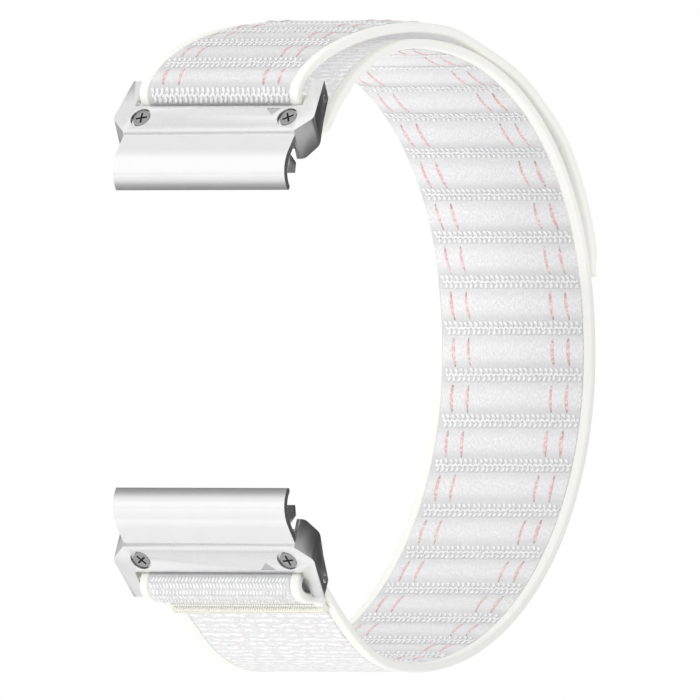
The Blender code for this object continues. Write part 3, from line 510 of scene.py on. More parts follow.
loops = Finish("loop_pile_nylon", 0.8, 0.3, 0.3, 1.0)
loops.lay_out(1.5, STRAP_WIDTH / MM)
# Rows of loop tufts, a pattern of the pile: their tops are painted white as if lit, and the grey between them is
# painted shade.
row_phase = (loops.along / 0.85 + loops.weave(0.8, 0.35) * 1.1) % 1.0
row = loops.step((row_phase - 0.5).math("ABSOLUTE"), 0.2, 0.46, 1.0, 0.0)
tuft = loops.weave(1.05, 1.5, 2.0, 3.0, 0.65)
nub = loops.weave(4.5, 4.5, 5.0)
lit = row * loops.step(tuft, 0.36, 0.56)
pile = loops.mix(lit, (0.79, 0.785, 0.8), 0.985)
rose = loops.weave(1.2, 2.0, 9.0, 1.0)
pile = loops.mix(loops.step(rose, 0.62, 0.72) * 0.4, pile, (0.95, 0.72, 0.72))
mint = loops.weave(1.1, 2.0, 4.0, 1.0)
pile = loops.mix(loops.step(mint, 0.64, 0.74) * 0.3, pile, (0.76, 0.92, 0.93))
loops.feed("Base Color", pile)
# Painted light: the pile glows between the layers, where the tab shades it.
glow_between_layers = loops.step(loops.along, LAYERS_START, LAYERS_END)
loops.feed("Emission Color", loops.mix(glow_between_layers * 0.17, 0.0, pile))
loops.feed_bump(lit * 0.8 + nub * 0.35, 0.2 * MM, 0.6)

WEB_ROW_STEP = 0.2525 * MM
web_rows = rows_along(WEB_ROW_STEP)
web_columns = [-cos(pi * share) * WEB_HALF_WIDTH for share in shares(24)]


def web_ring(distance):
    back = -GROUND_THICKNESS / 2 * thickness_share(distance)
    ring = [(x, rib_face(x, distance), (x / STRAP_WIDTH + 0.5) / 2) for x in reversed(web_columns)]
    return ring + [(x, back, 0.5 + (x / STRAP_WIDTH + 0.5) / 2) for x in web_columns[::2]]


web_mesh = woven_strip("webbing_cloth", web_rows, web_ring, lambda side: int(side > len(web_columns) - 2))
ribs_passed = [ribs_at(distance) for distance in web_rows for point in web_ring(distance)]
web_mesh.attributes.new("rib", "FLOAT", "POINT").data.foreach_set("value", ribs_passed)
webbing = new_piece("webbing_cloth", web_mesh, knit)
web_mesh.materials.append(loops.material)
settle(webbing, "strap", "webbing")


# In each groove rows of fine white stitches tie the two faces of the knit together: two rows of leaning
# commas with a zigzag of short threads between them. Each is a short spun thread that stands on the knit.
def spread(width, pitch, shift=0.0):
    """Places across this width, a pitch apart and even about its middle."""
    count = int(width / pitch)
    return [(column + 0.5 - count / 2 + shift) * pitch for column in range(count)]


def tube_faces(start, end, sides):
    """The faces between rings of points, from the ring at start to the one at end."""
    turns = [(side, (side + 1) % sides) for side in range(sides)]
    rows = range(start, end, sides)
    return [(row + side, row + after, row + sides + after, row + sides + side) for row in rows for side, after in turns]


def thread_rings(length, width, height, swell, bow=0.0, sides=6):
    """A short thread's (across, along, rise) rings between two points, and its faces."""
    points = [(0.0, -length / 2, 0.0)]
    for index, share in enumerate(swell):
        reach = (index + 1) / (len(swell) + 1) * 2 - 1
        for side in range(sides):
            turn = tau * side / sides
            across = cos(turn) * width / 2 * share + bow * (1 - reach * reach)
            points.append((across, reach * length / 2, sin(turn) * height / 2 * share))
    points.append((0.0, length / 2, 0.0))
    last = len(points) - 1
    faces = tube_faces(1, last - sides, sides)
    for side in range(sides):
        after = (side + 1) % sides
        faces += [(0, 1 + after, 1 + side), (last - sides + side, last - sides + after, last)]
    return points, faces


class ThreadBag:
    """Gathers many short threads into one piece, each with its own tone and painted shade on its lower part."""

    def __init__(self):
        self.points, self.faces, self.tones = [], [], []

    def add(self, shape, put, turn, tone=1.0):
        """put(across, along, rise) gives the place of a point of the shape."""
        points, faces = shape
        start = len(self.points)
        cosine, sine = cos(turn), sin(turn)
        tallest = max(rise for across, along, rise in points)
        for across, along, rise in points:
            self.points.append(put(across * cosine - along * sine, across * sine + along * cosine, rise))
            # The tone is darkened towards the thread's foot: painted shade where it meets the cloth.
            self.tones.append(tone * (0.72 + 0.28 * max(rise / tallest, 0.0)))
        self.faces += [tuple(start + index for index in face) for face in faces]

    def make(self, name, finish):
        mesh = bpy.data.meshes.new(name)
        mesh.from_pydata(self.points, [], self.faces)
        mesh.attributes.new("tone", "FLOAT", "POINT").data.foreach_set("value", self.tones)
        mesh.shade_smooth()
        piece = new_piece(name, mesh, finish)
        bpy.ops.object.mode_set(mode="EDIT")
        bpy.ops.mesh.select_all(action="SELECT")
        bpy.ops.mesh.normals_make_consistent(inside=False)
        bpy.ops.object.mode_set(mode="OBJECT")
        settle(piece, "strap")


def on_face(x, spot, lift, height=1.0):
    """The put of a thread that stands at this place on the ribbed face."""

    def put(across, along, rise):
        return on_strap(x + across, spot + along, rib_face(x, spot + along) + lift + rise * height)

    return put


def thread_finish(name, dark, light):
    """Spun thread: painted shade low down, darker at random, with a fine twist."""
    thread = Finish(name, 0.55, 0.4, 0.2)
    spun = thread.noise(thread.place(), 9.0)
    body = thread.mix(thread.step(thread.attribute("tone"), 0.5, 1.0), dark, light)
    thread.feed("Base Color", thread.mix(thread.step(spun, 0.35, 0.65) * 0.25, body, dark))
    thread.feed_bump(spun, 0.05 * MM, 0.4)
    return thread


# Inside an adapter's slot the stitches lie flat in the knit, and the texture alone shows them.
SLOT_SPANS = ((lower_bend - 1.4 * MM, lower_bend + 3.2 * MM), (upper_bend - 3.2 * MM, upper_bend + 0.9 * MM))
STITCH_PITCH = 0.635 * MM
comma = thread_rings(0.8 * MM, 0.42 * MM, 0.3 * MM, (0.7, 1.0, 0.85), 0.12 * MM, 5)
zigzag = thread_rings(0.6 * MM, 0.3 * MM, 0.24 * MM, (0.9, 1.0, 0.9), 0.0, 5)
# Each row: the stitch, its place as a share of the rib's length, its lean, and its shift by pitches
STITCH_ROWS = (
    (comma, 0.25, radians(32.0), -0.15),
    (zigzag, 0.165, radians(42.0), 0.15),
    (zigzag, 0.165, radians(-42.0), 0.65),
    (comma, 0.076, radians(-26.0), 0.3),
)
draw = random.Random(7).uniform
groove_threads = ThreadBag()
grooves = range(math.ceil(ribs_at(0.0)), math.floor(ribs_at(STRAP_LENGTH)) + 1)
for groove in grooves:
    start = groove_place(groove)
    rib_length = groove_place(groove + 1) - start
    hidden = any(low < start + 0.8 * MM < high for low, high in SLOT_SPANS)
    if hidden or not 0.6 * MM < start < STRAP_LENGTH - 1.6 * MM:
        continue
    for shape, share, turn, shift in STITCH_ROWS:
        for x in spread(WEB_HALF_WIDTH * 2, STITCH_PITCH, shift):
            if abs(x) > WEB_HALF_WIDTH - 0.15 * MM:
                continue
            lean = turn + draw(-0.16, 0.16)
            spot = start + share * rib_length + draw(-0.04, 0.04) * MM
            x += draw(-0.05, 0.05) * MM
            groove_threads.add(shape, on_face(x, spot, 0.03 * MM), lean, draw(0.88, 1.0))
groove_thread = thread_finish("groove_thread", (0.72, 0.72, 0.73), 0.99)
groove_threads.make("groove_stitches", groove_thread)


# Four pink threads run the strap's length inside the knit. Each comes up over every rib as a short
# bowed float and dives back into the groove.
PINK_LINES = (-7.25 * MM, -5.3 * MM, 5.3 * MM, 7.25 * MM)
FLOAT_STEPS = 10
FLOAT_SIDES = 8
FLOAT_RISE = 0.12 * MM
pink_bag = ThreadBag()
for rib in range(grooves.start - 1, grooves.stop):
    start = groove_place(rib + 0.27)
    end = groove_place(rib + 1.02)
    if start < 1.2 * MM or end > STRAP_LENGTH - 1.0 * MM or rib_fade((start + end) / 2) < 0.35:
        continue
    for line in PINK_LINES:
        lean = 0.19 * MM + draw(-0.05, 0.05) * MM
        bow = 0.1 * MM + draw(-0.05, 0.05) * MM
        width = 0.48 * MM * draw(0.8, 1.1)
        base = len(pink_bag.points)
        for share in shares(FLOAT_STEPS):
            spot = start + (end - start) * share
            swell = sin(pi * min(max(share, 0.015), 0.985)) ** 0.55
            x = line + lean * (1 - 2 * share) - bow * sin(pi * share)
            surface = rib_face(x, spot) - 0.05 * MM + 0.02 * MM * swell
            surface -= 0.16 * MM * (1 - smooth_share(min(share, 1 - share), 0.0, 0.1))
            for side in range(FLOAT_SIDES):
                turn = tau * side / FLOAT_SIDES
                across = cos(turn) * width / 2 * swell
                pink_bag.points.append(on_strap(x + across, spot, surface + sin(turn) * FLOAT_RISE * swell))
                pink_bag.tones.append(share)
        last = base + FLOAT_STEPS * FLOAT_SIDES
        ends = (tuple(range(base + FLOAT_SIDES - 1, base - 1, -1)), tuple(range(last, last + FLOAT_SIDES)))
        pink_bag.faces += [*tube_faces(base, last, FLOAT_SIDES), *ends]
# The colour along each float: pink in the middle, with painted shade at both ends where it dives into the knit.
PINK_STOPS = (
    (0.0, (0.3, 0.24, 0.26)), (1.0, (0.28, 0.2, 0.22)), (0.09, (0.38, 0.25, 0.27)), (0.2, (0.66, 0.41, 0.42)),
    (0.45, (0.8, 0.52, 0.53)), (0.7, (0.74, 0.47, 0.48)), (0.84, (0.54, 0.31, 0.33)), (0.93, (0.3, 0.19, 0.21)),
)
pink = Finish("pink_thread", 0.5, 0.4, 0.2)
body = pink.node("ValToRGB", {}, {0: pink.attribute("tone")})
stops = body.socket.node.color_ramp.elements
for index, (place, colour) in enumerate(PINK_STOPS):
    stop = stops[index] if index < 2 else stops.new(place)
    stop.position, stop.color = place, (*colour, 1.0)
pale = pink.noise(pink.place(), 3.2)
body = pink.mix(pink.step(pale, 0.45, 0.6) * 0.6, body, (0.96, 0.86, 0.85))
darker = pink.noise(pink.place(), 4.0, 1.0)
body = pink.mix(pink.step(darker, 0.58, 0.68) * 0.5, body, (0.6, 0.36, 0.38))
pink.feed("Base Color", body)
pink.feed_bump(pink.noise(pink.place(), 8.0), 0.04 * MM, 0.4)
pink_bag.make("pink_floats", pink)


# A smooth ivory binding is folded over each edge of the webbing and sewn through. It is a fine plain
# weave, a little proud of the cloth, with rounded borders.
BINDING_INNER = STRAP_WIDTH / 2 - BINDING_WIDTH
BINDING_ROUND = 0.3 * MM
BINDING_STEP = 0.5 * MM
ivory = Finish("ivory_binding", 0.6, 0.35, 0.1, 1.0)
ivory.lay_out(0.0, 1.6)
pick = (ivory.along * 3.4 + ivory.across * 0.8).math("SINE")
weave = ivory.weave(3.0, 2.4)
body = ivory.mix(weave, (0.895, 0.895, 0.855), (0.925, 0.922, 0.885))
ivory.feed("Base Color", body)
# Painted light: the binding glows between the layers, where the tab shades it.
glow_between_layers = ivory.step(ivory.along, LAYERS_START, LAYERS_END)
ivory.feed("Emission Color", ivory.mix(glow_between_layers * 0.09, 0.0, body))
ivory.feed_bump(pick * 0.3 + weave * 0.4, 0.05 * MM, 0.35)


def binding_ring(distance, side):
    half = STRAP_THICKNESS / 2 * thickness_share(distance)
    tall = min(BINDING_ROUND, half * 0.9)
    inner, outer = (BINDING_INNER + tall * 0.7, tall * 0.7), (STRAP_WIDTH / 2 - tall, tall)
    corners = ((inner, -1, 1.0), (outer, -1, 1.5), (outer, 1, 0.0), (inner, 1, 0.5))
    ring = []
    for (x, radius), level, first in corners:
        for step in range(5):
            turn = pi * (first + step / 8)
            rise = level * (half - tall) + sin(turn) * tall
            ring.append(((x + cos(turn) * radius) * side, rise, len(ring) / 20))
    return ring


for side, word in ((1, "right"), (-1, "left")):
    name = "binding_" + word
    strip = woven_strip(name, rows_along(BINDING_STEP), lambda distance: binding_ring(distance, side))
    settle(new_piece(name, strip, ivory), "strap", "edge_binding_" + word)


# The hook patch is a tape with rows of tiny moulded hooks, sewn under the tab's end, that grips the loop
# pile of the main run wherever the tab is pressed down.
PATCH_LENGTH = 19.0 * MM
PATCH_WIDTH = 16.0 * MM
PATCH_THICKNESS = 0.44 * MM
SEAM_GAP = 0.1 * MM
PATCH_FROM_END = 7.0 * MM
PATCH_STEPS = 40
HOOK_TALL = 0.2 * MM
HOOK_PITCH = 0.8 * MM
CREASE_ANGLE = radians(32.0)
patch_start = TAB_END_ANGLE + PATCH_FROM_END / LOOP_BACK_DEPTH
patch_end = min(patch_start + PATCH_LENGTH / LOOP_BACK_DEPTH, TAB_LANDING_ANGLE)


def patch_offset(share):
    angle = patch_start + (patch_end - patch_start) * share
    gap = tab_gap((TAB_LANDING_ANGLE - angle) / (TAB_LANDING_ANGLE - TAB_END_ANGLE))
    return STRAP_THICKNESS / 2 + gap - PATCH_THICKNESS - SEAM_GAP


def ringed_mesh(name, rings):
    """A closed mesh through these rings of places."""
    bm = bmesh.new()
    rows = [[bm.verts.new(spot) for spot in ring] for ring in rings]
    for first, second in zip(rows, rows[1:]):
        for side in range(len(first)):
            after = (side + 1) % len(first)
            bm.faces.new((first[side], first[after], second[after], second[side]))
    bm.faces.new(rows[0])
    bm.faces.new(rows[-1])
    return closed_mesh(name, bm)


def broken_edges(piece, width, segments, harden):
    """Rounds the sharp edges, as tumbling or blasting does."""
    edges = piece.modifiers.new("broken_edges", "BEVEL")
    edges.width = width
    edges.segments = segments
    edges.limit_method = "ANGLE"
    edges.angle_limit = CREASE_ANGLE
    edges.harden_normals = harden
    bpy.ops.object.modifier_apply(modifier="broken_edges")


patch_line = Route(back_half(patch_start, patch_end, patch_offset))
tape = Finish("hook_tape", 0.45, 0.5)
grain = tape.noise(tape.place(), 2.5)
tape.feed("Base Color", tape.mix(grain, (0.74, 0.74, 0.75), 0.83))
tape.feed_bump(grain, 0.06 * MM, 0.4)
corners = ((-1, HOOK_TALL), (1, HOOK_TALL), (1, PATCH_THICKNESS), (-1, PATCH_THICKNESS))
rings = []
for share in shares(PATCH_STEPS):
    distance = patch_line.length * share
    rings.append([patch_line.beside(side * PATCH_WIDTH / 2, distance, -rise) for side, rise in corners])
hook_tape = new_piece("hook_patch_tape", ringed_mesh("hook_patch_tape", rings), tape)
broken_edges(hook_tape, 0.04 * MM, 2, False)
settle(hook_tape, "strap", "hook_patch")

tiny_hook = thread_rings(0.34 * MM, 0.14 * MM, HOOK_TALL * 1.3, (0.5, 1.0, 0.5), 0.0, 5)
tiny_hooks = ThreadBag()
for row in range(int(patch_line.length / HOOK_PITCH)):
    spot = (row + 0.5) * HOOK_PITCH
    for x in spread(PATCH_WIDTH, HOOK_PITCH, (row % 2) * 0.5 - 0.25):

        def put(across, along, rise):
            return patch_line.beside(x + across, spot + along, rise - HOOK_TALL * 0.75)

        tiny_hooks.add(tiny_hook, put, draw(-0.2, 0.2))
tiny_hooks.make("hook_patch_hooks", tape)


# The strap's end is folded back over the lower bar and sewn down with a band of cream satin stitches,
# two rows that lean against each other, with the cut yarns of the cloth fringing out under them.
STITCH_HALF_WIDTH = 9.45 * MM
SATIN_PITCH = 0.29 * MM
FRINGE_PITCH = 0.43 * MM
FOLD_FLOOR = -STRAP_THICKNESS / 2
BAND_HALF = 0.67 * MM
BAND_RISE = 1.0 * MM
BAND_FROM_TIP = 0.85 * MM
BAND_STEPS = 12
tip, tip_along = route.at(0.0)
fold_centre = tip - tip_along * BAND_FROM_TIP
fold_out = Vector((-tip_along.y, tip_along.x))


def on_fold(x, away, rise):
    """A place on the stitch band: away from the bar, and out from the cloth."""
    spot = fold_centre - tip_along * away + fold_out * rise
    return Vector((x, spot.x, spot.y))


def band_face(away):
    return FOLD_FLOOR + BAND_RISE * math.sqrt(max(0.0, 1 - (away / BAND_HALF) ** 2))


cream = thread_finish("cream_thread", (0.87, 0.845, 0.745), (0.995, 0.985, 0.91))
turns = [pi * share for share in shares(BAND_STEPS)]
section = [(cos(turn) * BAND_HALF, FOLD_FLOOR + sin(turn) * BAND_RISE) for turn in turns]
ends = (-STITCH_HALF_WIDTH, STITCH_HALF_WIDTH)
core = ringed_mesh("fold_band", [[on_fold(x, away, rise) for away, rise in section] for x in ends])
core.attributes.new("tone", "FLOAT", "POINT").data.foreach_set("value", [0.7] * len(core.vertices))
settle(new_piece("fold_band", core, cream), "strap", "fold_stitching")

satin = thread_rings(0.86 * MM, 0.25 * MM, 0.2 * MM, (0.75, 1.0, 1.0, 0.75))
satin_stitches = ThreadBag()
for away, turn in ((-0.34 * MM, radians(28.0)), (0.4 * MM, radians(-28.0))):
    for x in spread(STITCH_HALF_WIDTH * 2, SATIN_PITCH):

        def put(across, along, rise):
            return on_fold(x + across, away + along, band_face(away + along) + 0.02 * MM + rise)

        satin_stitches.add(satin, put, turn + draw(-0.12, 0.12), draw(0.85, 1.0))
for x in spread(STITCH_HALF_WIDTH * 2, SATIN_PITCH):
    turn = radians(-24.0) + draw(-0.12, 0.12)
    satin_stitches.add(satin, on_face(x, 0.46 * MM, 0.05 * MM), turn, draw(0.85, 1.0))
satin_stitches.make("fold_satin_stitches", cream)

# The fringe lies on the main run, beside the place of its middle line that is nearest to the band.
tries = [lower_bend + nose_lengths[0] + step * 0.05 * MM for step in range(500)]
band_on_main = min(tries, key=lambda distance: (route.at(distance)[0] - fold_centre).length)
fringe = thread_rings(1.1 * MM, 0.2 * MM, 0.17 * MM, (0.8, 1.0, 0.9, 0.5))
fringe_threads = ThreadBag()
for x in spread(STITCH_HALF_WIDTH * 2, FRINGE_PITCH):
    spot = band_on_main + draw(1.1, 1.35) * MM

    def put(across, along, rise):
        return on_strap(x + across, spot + along, -GROUND_THICKNESS / 2 - 0.05 * MM - rise)

    fringe_threads.add(fringe, put, radians(-34.0) + draw(-0.15, 0.15), draw(0.6, 1.0))
fringe_threads.make("fold_fringe", groove_thread)

# The fold's face, pressed flat round the bar, shows rows of short leaning stitches.
DASH_PITCH = 0.42 * MM
DASH_START = 1.3 * MM
DASH_ROW = 0.52 * MM
dash = thread_rings(0.68 * MM, 0.32 * MM, 0.22 * MM, (0.8, 1.0, 0.7), 0.04 * MM)
fold_threads = ThreadBag()
for row in range(int((lower_bend + 0.2 * MM - DASH_START) / DASH_ROW)):
    spot = DASH_START + row * DASH_ROW
    lean = radians(38.0) * (1 if row % 2 else -1)
    for x in spread(WEB_HALF_WIDTH * 2, DASH_PITCH, (row % 2) * 0.4 - 0.2):
        if abs(x) <= WEB_HALF_WIDTH - 0.2 * MM:
            turn = lean + draw(-0.2, 0.2)
            fold_threads.add(dash, on_face(x, spot, 0.01 * MM, 0.8), turn, draw(0.75, 1.0))
fold_threads.make("fold_face_stitches", groove_thread)


# Each adapter is a cast metal frame, blasted to a satin silver: a flat plate with two screw seats, rounded
# corner walls, and two ears that hold the strap's bar. A small triangle beside the slot is etched in.
def satin_metal(name, colour, roughness, grain=0.25):
    """Blasted or tumbled metal: an even fine grain that only roughens the shine."""
    metal = Finish(name, roughness, 0.5, Metallic=1.0)
    place = metal.place()
    fine = metal.noise(place, 22.0)
    broad = metal.noise(place, 0.5)
    metal.feed("Base Color", metal.mix(broad, tuple(share * 0.96 for share in colour), colour))
    metal.feed("Roughness", metal.step(fine * 0.6 + broad * 0.4, 0.3, 0.7, roughness * 0.85, roughness * 1.15))
    metal.feed_bump(fine, 0.012 * MM, grain)
    return metal


def finished_copy(node, finish, rounding):
    """The CAD node's own shape with its edges broken, or all smooth without a rounding, to stand in for it."""
    mesh = frame["nodes"][node].data.copy()
    mesh.materials.clear()
    piece = new_piece(node + "_finished", mesh, finish)
    bpy.ops.mesh.customdata_custom_splitnormals_clear()
    bpy.ops.object.mode_set(mode="EDIT")
    bpy.ops.mesh.select_all(action="SELECT")
    bpy.ops.mesh.remove_doubles(threshold=0.001 * MM)
    if rounding:
        bpy.ops.mesh.dissolve_limited(angle_limit=radians(1.0))
    bpy.ops.object.mode_set(mode="OBJECT")
    if rounding:
        broken_edges(piece, rounding, 3, True)
        bpy.ops.object.shade_smooth_by_angle(angle=CREASE_ANGLE)
    else:
        bpy.ops.object.shade_smooth()
    settle(piece, frame["nodes"][node]["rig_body"], node)
    return piece


def added(finish):
    """The plain mesh that was added last, in this finish."""
    bpy.context.object.data.materials.append(finish.material)
    return bpy.context.object


def carve(piece, cutter):
    """Cuts the cutter's shape out of the piece and leaves the cutter's material there."""
    cut = piece.modifiers.new("carved", "BOOLEAN")
    cut.operation = "DIFFERENCE"
    cut.solver = "EXACT"
    cut.material_mode = "TRANSFER"
    cut.object = cutter
    only(piece)
    bpy.ops.object.modifier_apply(modifier="carved")
    bpy.data.objects.remove(cutter)


def plate_place(end):
    """The matrix from an adapter's own axes, with the bar at the origin and +Z up the plate, to the strap's."""
    up, roll = (1, 0.0) if end == "top" else (-1, pi)
    return Matrix.Translation((0.0, BAR.x, BAR.y * up)) @ Euler((-PLATE_LEAN, roll, 0.0)).to_matrix().to_4x4()


ENDS = ("top", "bottom")
SIDES = ("left", "right")
BAR_UNDER_FACE = 1.2 * MM
EDGE_BAND = 0.2 * MM
EDGE_Z = -5.25 * MM
WALL_FROM_MIDDLE = 10.7 * MM
MARK_RADIUS = 1.0 * MM
MARK_DEPTH = 0.05 * MM
MARK_X = {"top": 7.1 * MM, "bottom": -6.4 * MM}
MARK_Z = -2.5 * MM
upright = Matrix.Rotation(pi / 2, 4, "X")
satin_silver = satin_metal("satin_silver", (0.95, 0.95, 0.952), 0.28)
# Painted highlight: a brighter metal for the bevel along the plate's front edge.
painted_highlight_edge = satin_metal("painted_highlight_edge", (0.99, 0.99, 0.99), 0.2, 0.05)
etched_silver = satin_metal("etched_silver", (0.66, 0.66, 0.67), 0.5, 0.5)
# Painted shade: a darker copy of the frame's metal for the corner walls.
shaded_wall_silver = satin_metal("shaded_wall_silver", (0.52, 0.52, 0.525), 0.32)
for end in ENDS:
    plate = finished_copy(end + "_adapter_frame", satin_silver, 0.15 * MM)
    plate.data.materials.append(painted_highlight_edge.material)
    plate.data.materials.append(shaded_wall_silver.material)
    to_plate = plate_place(end).inverted()
    for face in plate.data.polygons:
        middle = to_plate @ face.center
        normal = to_plate.to_3x3() @ face.normal
        on_front = abs(middle.y + BAR_UNDER_FACE) < EDGE_BAND and abs(middle.z - EDGE_Z) < EDGE_BAND
        on_wall = abs(middle.x) > WALL_FROM_MIDDLE and normal.x * middle.x > 0
        # The front edge's bevel takes the painted highlight, the corner walls the painted shade.
        if on_front and 0.1 < -normal.z < 0.95 and abs(normal.x) < 0.3:
            face.material_index = 1
        elif on_wall and abs(normal.x) > 0.35 and abs(normal.y) < 0.5:
            face.material_index = 2
    bpy.ops.mesh.primitive_cylinder_add(vertices=3, radius=MARK_RADIUS, depth=MARK_DEPTH * 2)
    mark = added(etched_silver)
    flattened = upright @ Matrix.Diagonal((1.08, -0.63, -1.0, 1.0))
    mark.matrix_world = plate_place(end) @ Matrix.Translation((MARK_X[end], -BAR_UNDER_FACE, MARK_Z)) @ flattened
    carve(plate, mark)


# The hook that seats in the watch is spring steel, rolled to a round front. Its metal is a little brighter than the
# frame's, which paints in part of its highlight. Its flange lies under the plate, held by the two screws.
hook_silver = satin_metal("highlight_hook_silver", (1.0, 1.0, 1.0), 0.2, 0.08)
HOOK_START = Vector((-1.16 * MM, -5.37 * MM))
HOOK_LEAN = radians(12.5)
HOOK_RADIUS = 4.67 * MM
HOOK_SWEEP = radians(81.0)
HOOK_FLAT = 0.2 * MM
HOOK_THICKNESS = 0.62 * MM
SUNK = Vector((0.4 * MM, 0.0))
FACE_RUN = 2.44 * MM
FRONT_RADIUS = 3.35 * MM
FRONT_SWEEP = radians(75.0)


def rolled_front(spot):
    """A point of the plain hook, moved to the real one's section: a flat face sunk a little behind the
    plate's edge, which then rolls back to the tip."""
    face_end = HOOK_START - Vector((sin(HOOK_LEAN), cos(HOOK_LEAN))) * HOOK_FLAT
    away = spot - face_end + heading(pi - HOOK_LEAN) * HOOK_RADIUS
    turn = math.atan2(-away.y, -away.x) + HOOK_LEAN
    depth = HOOK_RADIUS - away.length
    if turn < -0.002 or not -0.2 * MM < depth < HOOK_THICKNESS + 0.2 * MM:
        by_edge = spot.y < HOOK_START.y + 0.06 * MM and spot.x < HOOK_START.x + 0.1 * MM
        return spot + SUNK if by_edge else spot
    share = (HOOK_FLAT + HOOK_RADIUS * turn) / (HOOK_FLAT + HOOK_RADIUS * HOOK_SWEEP)
    run = share * (FACE_RUN + FRONT_RADIUS * FRONT_SWEEP)
    if run < FACE_RUN:
        return HOOK_START + SUNK + Vector((depth, -run))
    turn = (run - FACE_RUN) / FRONT_RADIUS
    return HOOK_START + SUNK + Vector((FRONT_RADIUS, -FACE_RUN)) + heading(pi + turn) * (FRONT_RADIUS - depth)


for end in ENDS:
    hook = finished_copy(end + "_lug_hook", hook_silver, 0.05 * MM)
    seat = plate_place(end)
    for vert in hook.data.vertices:
        spot = seat.inverted() @ vert.co
        moved = rolled_front(Vector((spot.y, spot.z)))
        vert.co = seat @ Vector((spot.x, moved.x, moved.y))
    hook.data.update()
    bpy.ops.mesh.customdata_custom_splitnormals_clear()
    bpy.ops.object.shade_smooth_by_angle(angle=CREASE_ANGLE)
    evened = hook.modifiers.new("evened_shine", "WEIGHTED_NORMAL")
    evened.weight = 80
    evened.keep_sharp = True
    bpy.ops.object.modifier_apply(modifier="evened_shine")


# The latch slides under the hook to shut its mouth: a nose bar on a thin neck, with a pressed cover over
# its pocket. Both are bright rolled steel.
latch_steel = satin_metal("bright_latch_steel", (0.86, 0.86, 0.87), 0.28, 0.1)
for end in ENDS:
    finished_copy(end + "_latch_slider", latch_steel, 0.05 * MM)
    finished_copy(end + "_latch_cover", latch_steel, 0.03 * MM)


# Two small coil springs of plain bright wire push each latch shut. They stand between the latch's neck and the wall of
# the slot, and the latch squeezes them when it is drawn back; here each is a plain smooth copy of its CAD coil.
spring_wire = satin_metal("spring_wire", (0.78, 0.78, 0.79), 0.22, 0.1)
for end in ENDS:
    seat = plate_place(end)
    for word in SIDES:
        node = f"{end}_latch_spring_{word}"
        spots = [seat.inverted() @ Vector(vert.co) for vert in frame["nodes"][node].data.vertices]
        coil = finished_copy(node, spring_wire, 0.0)
        end + "_latch_slide"
        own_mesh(coil)


# The strap turns round a drawn steel bar that is pressed through both ears and shows its bright end in
# each of them.
bar_steel = satin_metal("drawn_bar_steel", (0.95, 0.95, 0.95), 0.25, 0.1)
for end in ENDS:
    finished_copy(end + "_strap_bar", bar_steel, 0.03 * MM)


# Each screw is a small flat-headed cross-slot screw, darker than the plate, sunk a little below its face.
# One is turned and slotted, and the four are its copies, each driven home at its own angle.
screw_steel = satin_metal("screw_steel", (0.42, 0.42, 0.43), 0.35, 0.3)
# Painted shade: the cross slot is painted near black, for the shade down in the recess.
painted_recess_shade = satin_metal("painted_recess_shade", (0.05, 0.05, 0.05), 0.5, 0.2)
HEAD_RADIUS = 1.0 * MM
HEAD_TALL = 0.2 * MM
HEAD_UNDER_FACE = 0.26 * MM
SHANK_RADIUS = 0.38 * MM
SCREW_REACH = 1.5 * MM
CROSS_REACH = 0.66 * MM
CROSS_WIDTH = 0.2 * MM
bpy.ops.mesh.primitive_cylinder_add(vertices=32, radius=HEAD_RADIUS, depth=HEAD_TALL, location=(0, 0, -HEAD_TALL / 2))
screw = added(screw_steel)
bpy.ops.object.mode_set(mode="EDIT")
bpy.ops.mesh.select_all(action="DESELECT")
bm = bmesh.from_edit_mesh(screw.data)
for face in bm.faces:
    face.select = face.normal.z < -0.9
bmesh.update_edit_mesh(screw.data)
bpy.ops.mesh.inset(thickness=HEAD_RADIUS - SHANK_RADIUS)
bpy.ops.mesh.extrude_region_move(TRANSFORM_OT_translate={"value": (0, 0, HEAD_TALL - SCREW_REACH)})
bpy.ops.object.mode_set(mode="OBJECT")
for turn in (0.0, pi / 2):
    bpy.ops.mesh.primitive_cube_add(size=1.0, rotation=(0, 0, turn))
    cross = added(painted_recess_shade)
    cross.scale = (CROSS_REACH * 2, CROSS_WIDTH, HEAD_TALL * 1.5)
    carve(screw, cross)
broken_edges(screw, 0.035 * MM, 2, False)
bpy.ops.object.shade_smooth_by_angle(angle=CREASE_ANGLE)
for end in ENDS:
    plate = plate_place(end)
    for word in SIDES:
        node = f"{end}_screw_{word}"
        low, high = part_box(node)
        head = plate.inverted() @ ((low + high) / 2)
        head.y = HEAD_UNDER_FACE - BAR_UNDER_FACE
        turned = Matrix.Rotation(draw(0.1, 0.7), 4, "Z")
        piece = placed(node + "_finished", screw.data.copy())
        piece.data.transform(plate @ (Matrix.Translation(head) @ upright @ turned))
        settle(piece, end + "_adapter", node)
bpy.data.objects.remove(screw)


# The floor is a plain pale sheet well below the strap. It lets the low lamp shine through and still takes
# the strap's shadow.
paper = Finish("pale_paper", 0.9, 0.1, **{"Base Color": (0.93, 0.93, 0.93, 1.0)})
bpy.ops.mesh.primitive_circle_add(vertices=96, radius=1.3, fill_type="NGON", location=(0, 0, -0.1))
floor = added(paper)
floor.name = "floor"
floor.visible_shadow = False


# Cards stand round the strap as in a photographer's studio: pale ones above and below, grey ones behind, on
# the right and between the adapters. Only the metal's shine shows them, and they cast no shadow.
def card_finish(name, grey=0.0):
    """Glows in this grey, or with what is fed to its emission, and mirrors nothing."""
    colours = {"Base Color": (0.0, 0.0, 0.0, 1.0), "Emission Color": (grey, grey, grey, 1.0)}
    card = Finish(name, 0.5, 0.0, 0.0, 1.0, **colours)
    return (card, *card.uv("UVMap"))


